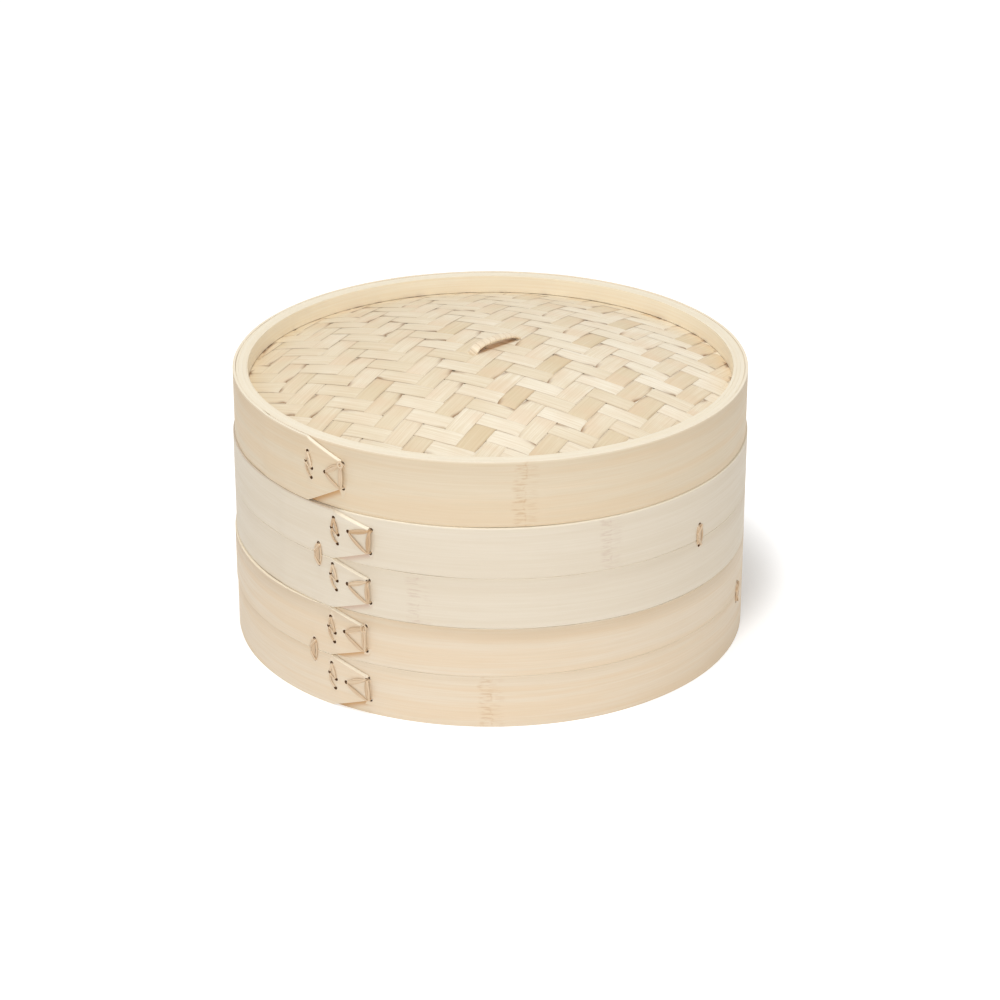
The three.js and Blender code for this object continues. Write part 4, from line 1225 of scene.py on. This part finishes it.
class STEAMER_OT_finishes(bpy.types.Operator):
    """Make the bamboo and cane materials"""

    bl_idname = "steamer.finishes"
    bl_label = "Finishes"

    def execute(self, context):
        hues = context.scene.steamer_colours
        sizes = context.scene.steamer_sizes
        for make in (fibre_effect, joint_effect, lap_effect, top_effect, stain_effect):
            make()
        for k, (name, mark) in enumerate(BANDS.items()):
            self.band(k, name, mark, hues, sizes)
        bamboo_finish(
            "hoop_bamboo", hues.hoop_pale, hues.hoop_deep, hues.hoop_cut, 21.0, fibre=0.2,
            streak=0.4,
        )
        bamboo_finish("hole_bamboo", hues.bore_and_shade, hues.bore_and_shade, hues.mark, 25.0, cut_share=0.1)
        shift = sizes.handle_shift * IN_MM
        bamboo_finish(
            "weave_bamboo", hues.weave_pale, hues.weave_deep, hues.weave_edge_and_shade, 33.0, fibre=0.42,
            streak=0.2, cut_share=0.75, second=hues.weave_tan, tone=0.85, first_tone=0.8,
            blush=hues.weave_blush, blush_form="Patch", blush_share=0.4, rough=0.45, bump=0.4,
            stain=(shift, shift, sizes.handle_turn, hues.weave_handle_shade),
        )
        # The backing's cut colour is the painted shade on its upper faces
        bamboo_finish(
            "backing_bamboo", hues.weave_tan, hues.weave_deep, hues.bore_and_shade, 41.0, fibre=0.5,
            streak=0.5, cut_share=0.8, second=hues.slat_pale, first_tone=1.0,
            blush=hues.weave_blush, blush_form="Patch", blush_share=0.5, rough=0.6,
        )
        bamboo_finish(
            "slat_bamboo", hues.slat_pale, hues.slat_deep, hues.cut, 52.0, fibre=0.4, streak=0.6
        )
        bamboo_finish(
            "cane_strand", hues.cane_pale, hues.cane_deep, hues.cane_pale, 61.0, fibre=0.5,
            streak=0.4, tone=0.7, rough=0.38, bump=0.5,
        )
        # The handle's cut colour paints its grooves darker and paints shade on its underside
        bamboo_finish(
            "handle_cane", hues.handle_pale, hues.cane_deep, hues.weave_edge_and_shade, 71.0, fibre=0.2,
            streak=0.15, cut_share=0.8, tone=0.1, bump=0.5,
        )
        return {"FINISHED"}

    def band(self, k, name, mark, hues, sizes):
        """The finish of band k. Its joint, its lap and its upper edge have their places in
        millimetres of the strip's coordinates."""
        pale, deep, blush, joint_and_lap_shade_hue = {
            "band_lid": (hues.lid_pale, hues.lid_deep, hues.band_blush, hues.mark),
            "band_warm": (hues.warm_pale, hues.warm_deep, hues.band_blush, hues.mark),
            "band_pale": (hues.pale_pale, hues.pale_deep, hues.pale_deep, hues.pale_mark),
        }[mark["finish"]]
        _, height, inner, thickness, point, tip = wound_band(name, sizes)
        start = winding(inner, thickness, mark["angle"], mark["lap"], sizes)["start"]
        joint = (math.radians(mark["joint"]) - TAU - start) * inner
        shade, reach = mark["shade"]
        bamboo_finish(
            f"{name}_bamboo", pale, deep, hues.cut, 3.7 * k, fibre=0.25, streak=0.3,
            cut_share=0.85, blush=blush, blush_form="Broad", blush_share=0.35,
            joint=(joint + band_seed(k)) * IN_MM, joint_share=0.38, mark=joint_and_lap_shade_hue,
            top={"Height": height * IN_MM, "Reach": reach}, top_share=shade,
            shade=hues.edge_shade,
            lap={
                "Begin": (mark["lap"] - point + band_seed(k)) * IN_MM, "Length": point * IN_MM,
                "Rise": (height / 2 + mark["rise"] - tip) * IN_MM,
            },
            lap_share=0.9, ledge=mark["ledge"], ledge_hue=hues.bore_and_shade,
        )


class STEAMER_OT_bands(bpy.types.Operator):
    """Wind the five bands and drill them for the cane"""

    bl_idname = "steamer.bands"
    bl_label = "Bands"

    def execute(self, context):
        sizes = context.scene.steamer_sizes
        for k, (name, mark) in enumerate(BANDS.items()):
            base, height, inner, thickness, point, tip = wound_band(name, sizes)
            wound = winding(inner, thickness, mark["angle"], mark["lap"], sizes)
            closing = sizes.band_closing if name.endswith("lower_band") else sizes.seam_closing
            strip = band_patch(
                wound, inner, base, height, mark, point, tip, closing, band_seed(k), sizes
            )
            slot = "pale_band" if mark["finish"] == "band_pale" else "warm_band"
            band = place(f"{name}_strip", [strip], f"{name}_bamboo", mark["body"], [name], slot)
            plan = lacing_plan(inner, thickness, base, height, mark, sizes)
            holes = [
                (plan[f"{kind}_angle"] + along / plan["front"], z)
                for kind in ("point", "column")
                for along, z in plan[kind].values()
            ]
            if mark["body"] != "lid":
                ties = tie_holes(mark["body"], sizes)[1]
                holes += [(a, z) for a, z in ties if base < z < base + height]
            drill(band, holes, sizes.hole, inner - 2 * MM, inner + 6 * MM)
        return {"FINISHED"}


class STEAMER_OT_lacings(bpy.types.Operator):
    """Lace the pointed ends of the bands"""

    bl_idname = "steamer.lacings"
    bl_label = "Lacings"

    def execute(self, context):
        sizes = context.scene.steamer_sizes
        for k, (name, mark) in enumerate(BANDS.items()):
            base, height, inner, thickness, _, _ = wound_band(name, sizes)
            plan = lacing_plan(inner, thickness, base, height, mark, sizes)
            across = LEAF_STRANDS if mark["leaf"] else PAIR_STRANDS
            for kind, strands in (("point", POINT_STRANDS + across), ("column", COLUMN_STRANDS)):
                made = laced(
                    plan[f"{kind}_angle"], plan[kind], strands, plan["back"], plan["front"],
                    sizes.hole_room, SEEDS["lacing"] + 10 * k + len(kind), mark["cane_tone"], sizes,
                )
                if kind == "point" and mark["knot"]:
                    made.append(knot_patch(
                        plan["point_angle"], plan["point"]["top"], mark["knot"], plan["front"],
                        sizes, SEEDS["knot"] + k, 0.0,
                    ))
                node = name.replace("_outer_band", "").replace("_band", "") + f"_{kind}_lacing"
                place(f"{node}_cane", made, "cane_strand", mark["body"], [node], "cane")
        return {"FINISHED"}


class STEAMER_OT_ties(bpy.types.Operator):
    """Tie the two bands of each tier together across their seam"""

    bl_idname = "steamer.ties"
    bl_label = "Seam ties"

    def execute(self, context):
        sizes = context.scene.steamer_sizes
        inner = sizes.tier_radius - sizes.tier_strip
        for tier in TIERS:
            seam = tie_holes(tier, sizes)[0]
            bands = [BANDS[f"{tier}_{level}_band"] for level in ("lower", "upper")]
            wound = [
                winding(inner, sizes.tier_strip, mark["angle"], mark["lap"], sizes)
                for mark in bands
            ]
            for k, degrees in enumerate(TIE_ANGLES[tier]):
                angle = math.radians(degrees)
                outer = max(float(w["outer"](angle)) for w in wound)
                holes = {"low": (0, seam - sizes.tie_spread), "high": (0, seam + sizes.tie_spread)}
                back = sizes.hoop_inner - sizes.cane_gap - sizes.cane / 2
                front = outer + sizes.cane_gap + sizes.cane / 2
                made = laced(
                    angle, holes, TIE_STRANDS, back, front, sizes.tie_room,
                    SEEDS["tie"] + 10 * k + len(tier), 0.4, sizes, fan=0.45,
                )
                for n, (first, last, width) in enumerate(TIE_CROSSINGS):
                    cross = {"low": (first[0], seam + first[1]), "high": (last[0], seam + last[1])}
                    made += laced(
                        angle, cross, (("low", "high", width, 1.1, 0.0, 0.0, 0.0),), outer,
                        front + CROSSING_LIFT, 0.0, SEEDS["crossing"] + 10 * n + k, 0.2, sizes,
                    )
                node = f"{tier}_seam_tie_{k + 1}"
                place(f"{node}_cane", made, "cane_strand", tier, [node], "cane")
        return {"FINISHED"}


class STEAMER_OT_hoops(bpy.types.Operator):
    """Wind the hoops inside the tiers and the lid"""

    bl_idname = "steamer.hoops"
    bl_label = "Hoops"

    def execute(self, context):
        sizes = context.scene.steamer_sizes
        for k, tier in enumerate(TIERS):
            for kind, turns, start in (("inner_hoop", 3, 2.4), ("floor_hoop", 2, 0.8)):
                node = f"{tier}_{kind}"
                low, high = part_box(node)
                wound = hoop_patch(
                    sizes.hoop_inner, sizes.hoop_outer, low.z, high.z, turns, start,
                    SEEDS["hoop"] + 7 * k, sizes,
                )
                hoop = place(f"{node}_strip", [wound], "hoop_bamboo", tier, [node], "hoop")
                if kind == "inner_hoop":
                    holes = tie_holes(tier, sizes)[1]
                    inside, outside = sizes.hoop_inner - 2 * MM, sizes.hoop_outer + 1 * MM
                    drill(hoop, holes, sizes.hole, inside, outside)
                else:
                    self.notch(hoop, tier)
        rim_outer = sizes.lid_inner - 0.05 * MM
        for node, outer, below in (
            ("lid_top_hoop", rim_outer, 0.7 * MM), ("lid_lower_hoop", sizes.clamp_outer, 0.0),
        ):
            low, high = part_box(node)
            wound = hoop_patch(
                sizes.rim_inner, outer, low.z - below, high.z, 3, -0.4,
                SEEDS["lid_hoop"] + len(node), sizes, hand=-1,
            )
            place(f"{node}_strip", [wound], "hoop_bamboo", "lid", [node], "hoop")
        return {"FINISHED"}

    def notch(self, hoop, tier):
        """Cuts the ribs' places, a little wider than the ribs and past the hoop at both ends."""
        spare = 0.3 * MM
        made = []
        for side in (1, 2):
            low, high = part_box(f"{tier}_rib_{side}")
            x = np.array([low.x - spare, high.x + spare, high.x + spare, low.x - spare])
            z = np.array([low.z - spare, low.z - spare, high.z + spare, high.z + spare])
            y = np.array([low.y, high.y])[:, None] * 1.1
            points = np.stack(np.broadcast_arrays(x, y, z), axis=-1)
            made.append(patch(points, points))
        mesh = build_mesh("notches", made)
        mesh.shade_flat()
        carve(hoop, mesh)


class STEAMER_OT_floors(bpy.types.Operator):
    """Lay the ribs and the slats of each tier"""

    bl_idname = "steamer.floors"
    bl_label = "Floors"

    def execute(self, context):
        sizes = context.scene.steamer_sizes
        for t, tier in enumerate(TIERS):
            slats = sorted(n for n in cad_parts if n.startswith(f"{tier}_slat_"))
            end = sizes.hoop_outer - 0.3 * MM
            for k, node in enumerate(slats):
                low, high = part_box(node)
                board = board_patch(
                    lambda side: np.sqrt(end**2 - side**2), (low.y + high.y) / 2, high.y - low.y,
                    low.z, high.z - low.z, sizes.slat_arris, SEEDS["slat"] + 20 * t + k,
                )
                place(f"{node}_board", [board], "slat_bamboo", tier, [node], "slat")
            for k in (1, 2):
                node = f"{tier}_rib_{k}"
                low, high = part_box(node)
                board = board_patch(
                    lambda side, reach=high.y: np.full_like(side, reach), (low.x + high.x) / 2,
                    high.x - low.x, low.z, high.z - low.z, sizes.slat_arris,
                    SEEDS["rib"] + 20 * t + k, lengthwise_y=True,
                )
                place(f"{node}_board", [board], "slat_bamboo", tier, [node], "slat")
        return {"FINISHED"}


class STEAMER_OT_mats(bpy.types.Operator):
    """Weave the lid's top and the mat behind it"""

    bl_idname = "steamer.mats"
    bl_label = "Woven mats"

    def execute(self, context):
        sizes = context.scene.steamer_sizes
        mat = {
            "turn": sizes.weave_turn, "skew": sizes.weave_skew, "reach": sizes.mat_reach,
            "edge": sizes.mat_edge, "crown": sizes.mat_crown, "edge_radius": sizes.rim_inner,
            "relief": sizes.mat_relief, "strip": sizes.mat_strip, "bend": sizes.weave_bend,
            # The last number on this line is the strength of the painted dark dashes at the bends
            "gap": sizes.weave_gap, "pinch": sizes.weave_pinch, "bell": 2.8 * MM, "mark": 1.1,
            # Shares of painted shade on the strips' upper faces and on their sides and undersides
            "face_shade": 0.0, "wall_shade": 0.7, "seed": 0,
        }
        lengthwise = {
            "pitch": sizes.lengthwise_pitch, "centre": sizes.lengthwise_start,
            "tan": TAN_LENGTHWISE, "fade": 0.55,
        }
        crosswise = {
            "pitch": sizes.crosswise_pitch,
            "centre": sizes.crosswise_start + sizes.crosswise_pitch / 2,
            "tan": TAN_CROSSWISE, "fade": 0.85,
        }
        woven = mat_patches(mat, lengthwise, crosswise, weave_state)
        place("lid_woven_top_strips", woven, "weave_bamboo", "lid", ["lid_woven_top"], "weave")
        # The backing's upper faces get full painted shade, since they show only through the weave's
        # gaps
        under = dict(
            mat, edge=mat["edge"] - sizes.backing_drop, relief=0.2 * MM, strip=0.4 * MM,
            bend=3.5 * MM, pinch=0.0, mark=0.0, face_shade=1.0, wall_shade=0.0, seed=SEEDS["backing"],
            turn=sizes.weave_turn - 0.5,
        )
        coarse = {"pitch": sizes.backing_pitch, "centre": 3 * MM, "tan": {}, "fade": 0.5}
        backing = mat_patches(under, coarse, coarse, plain_state)
        place(
            "lid_backing_mat_strips", backing, "backing_bamboo", "lid", ["lid_backing_mat"], "backing"
        )
        return {"FINISHED"}


class STEAMER_OT_handle(bpy.types.Operator):
    """Wrap the handle"""

    bl_idname = "steamer.handle"
    bl_label = "Handle"

    def execute(self, context):
        sizes = context.scene.steamer_sizes
        crown = sizes.mat_edge + sizes.mat_crown
        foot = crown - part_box("lid_handle")[0].z
        wrapped = handle_patch(sizes, crown, foot)
        place("lid_handle_wraps", [wrapped], "handle_cane", "lid", ["lid_handle"], "cane")
        return {"FINISHED"}


class STEAMER_OT_stage(bpy.types.Operator):
    """Set up the floor, the camera and the light"""

    bl_idname = "steamer.stage"
    bl_label = "Stage"

    def execute(self, context):
        stage = context.scene.steamer_stage
        context.scene.view_settings.view_transform = "Standard"
        self.floor(stage)
        self.camera(context, stage)
        self.world(context, stage)
        for name, (spot, size, power) in LAMPS.items():
            self.lamp(name, spot, size, getattr(stage, power))
        return {"FINISHED"}

    def floor(self, stage):
        """A white card with a soft shade behind the steamer, which is clear from below."""
        reach = 6.0
        mesh = bpy.data.meshes.new("floor")
        corners = [(-reach, -reach, 0), (reach, -reach, 0), (reach, reach, 0), (-reach, reach, 0)]
        mesh.from_pydata(corners, [], [(0, 1, 2, 3)])
        material = bpy.data.materials.new("floor_card")
        nodes = emptied(material)
        path, shown = nodes.seen()
        matt = nodes.add("ShaderNodeBsdfDiffuse", {"Color": stage.floor})
        side = nodes.add("ShaderNodeNewGeometry").outputs
        middle = (stage.shade_right, stage.shade_back, 0)
        away = nodes.length(nodes.vector("SUBTRACT", side["Position"], middle))
        full = stage.floor_glow + stage.far_glow
        added = nodes.span(away, stage.shade_core, stage.shade_reach, stage.floor_glow, full)
        glow = nodes.add("ShaderNodeEmission", {"Strength": nodes.times(shown, added)})
        both = nodes.add("ShaderNodeAddShader", {0: matt.outputs[0], 1: glow.outputs[0]})
        below = nodes.times(path["Is Camera Ray"], side["Backfacing"])
        clear = nodes.add("ShaderNodeBsdfTransparent")
        card = nodes.add(
            "ShaderNodeMixShader", {0: below, 1: both.outputs[0], 2: clear.outputs[0]}
        )
        nodes.add("ShaderNodeOutputMaterial", {"Surface": card.outputs[0]})
        mesh.materials.append(material)
        floor = stand("floor", mesh)

    def camera(self, context, stage):
        data = bpy.data.cameras.new("camera")
        data.sensor_width = 36
        data.lens = stage.focal
        data.shift_x, data.shift_y = stage.shift_x, stage.shift_y
        camera = stand("camera", data)
        drop = stage.camera_height - stage.aim_height
        camera.location = (0, -stage.camera_distance, stage.camera_height)
        camera.rotation_euler = (math.pi / 2 - math.atan2(drop, stage.camera_distance), 0, 0)
        context.scene.camera = camera

    def world(self, context, stage):
        """Soft light from all round, seen as plain white."""
        world = bpy.data.worlds.new("studio")
        nodes = emptied(world)
        _, shown = nodes.seen()
        white = nodes.add("ShaderNodeBackground", {"Color": (1, 1, 1, 1), "Strength": 1.0})
        soft = nodes.add("ShaderNodeBackground", {"Color": (1, 1, 1, 1), "Strength": stage.ambient})
        both = nodes.add("ShaderNodeMixShader", {0: shown, 1: soft.outputs[0], 2: white.outputs[0]})
        nodes.add("ShaderNodeOutputWorld", {"Surface": both.outputs[0]})
        context.scene.world = world

    def lamp(self, name, location, size, power):
        """A square lamp that faces the middle of the steamer."""
        data = bpy.data.lights.new(name, "AREA")
        data.shape = "SQUARE"
        data.size = size
        data.energy = power
        lamp = stand(name, data)
        lamp.location = location
        away = lamp.location - Vector((0, 0, 0.08))
        lamp.rotation_mode = "QUATERNION"
        lamp.rotation_quaternion = away.to_track_quat("Z", "Y")


OPERATORS = (
    STEAMER_OT_stage,
    STEAMER_OT_finishes,
    STEAMER_OT_bands,
    STEAMER_OT_lacings,
    STEAMER_OT_ties,
    STEAMER_OT_hoops,
    STEAMER_OT_floors,
    STEAMER_OT_mats,
    STEAMER_OT_handle,
)
GROUPS = {
    "steamer_sizes": SteamerSizes,
    "steamer_colours": SteamerColours,
    "steamer_stage": SteamerStage,
}


class STEAMER_PT_panel(bpy.types.Panel):
    """Lists the steamer's operators and properties"""

    bl_idname = "STEAMER_PT_panel"
    bl_label = "Bamboo Steamer"
    bl_space_type = "VIEW_3D"
    bl_region_type = "UI"
    bl_category = "Steamer"

    def draw(self, context):
        for operator in OPERATORS:
            self.layout.operator(operator.bl_idname)
        for name, group in GROUPS.items():
            box = self.layout.box()
            box.label(text=group.__doc__)
            for prop in group.__annotations__:
                box.prop(getattr(context.scene, name), prop)


def register():
    for group in GROUPS.values():
        bpy.utils.register_class(group)
    for operator in OPERATORS:
        bpy.utils.register_class(operator)
    bpy.utils.register_class(STEAMER_PT_panel)
    for name, group in GROUPS.items():
        setattr(bpy.types.Scene, name, bpy.props.PointerProperty(type=group))


def unregister():
    for name in GROUPS:
        delattr(bpy.types.Scene, name)
    bpy.utils.unregister_class(STEAMER_PT_panel)
    for operator in reversed(OPERATORS):
        bpy.utils.unregister_class(operator)
    for group in reversed(GROUPS.values()):
        bpy.utils.unregister_class(group)


def main():
    register()
    for operator in OPERATORS:
        family, name = operator.bl_idname.split(".")
        getattr(getattr(bpy.ops, family), name)()


if __name__ == "__main__":
    main()
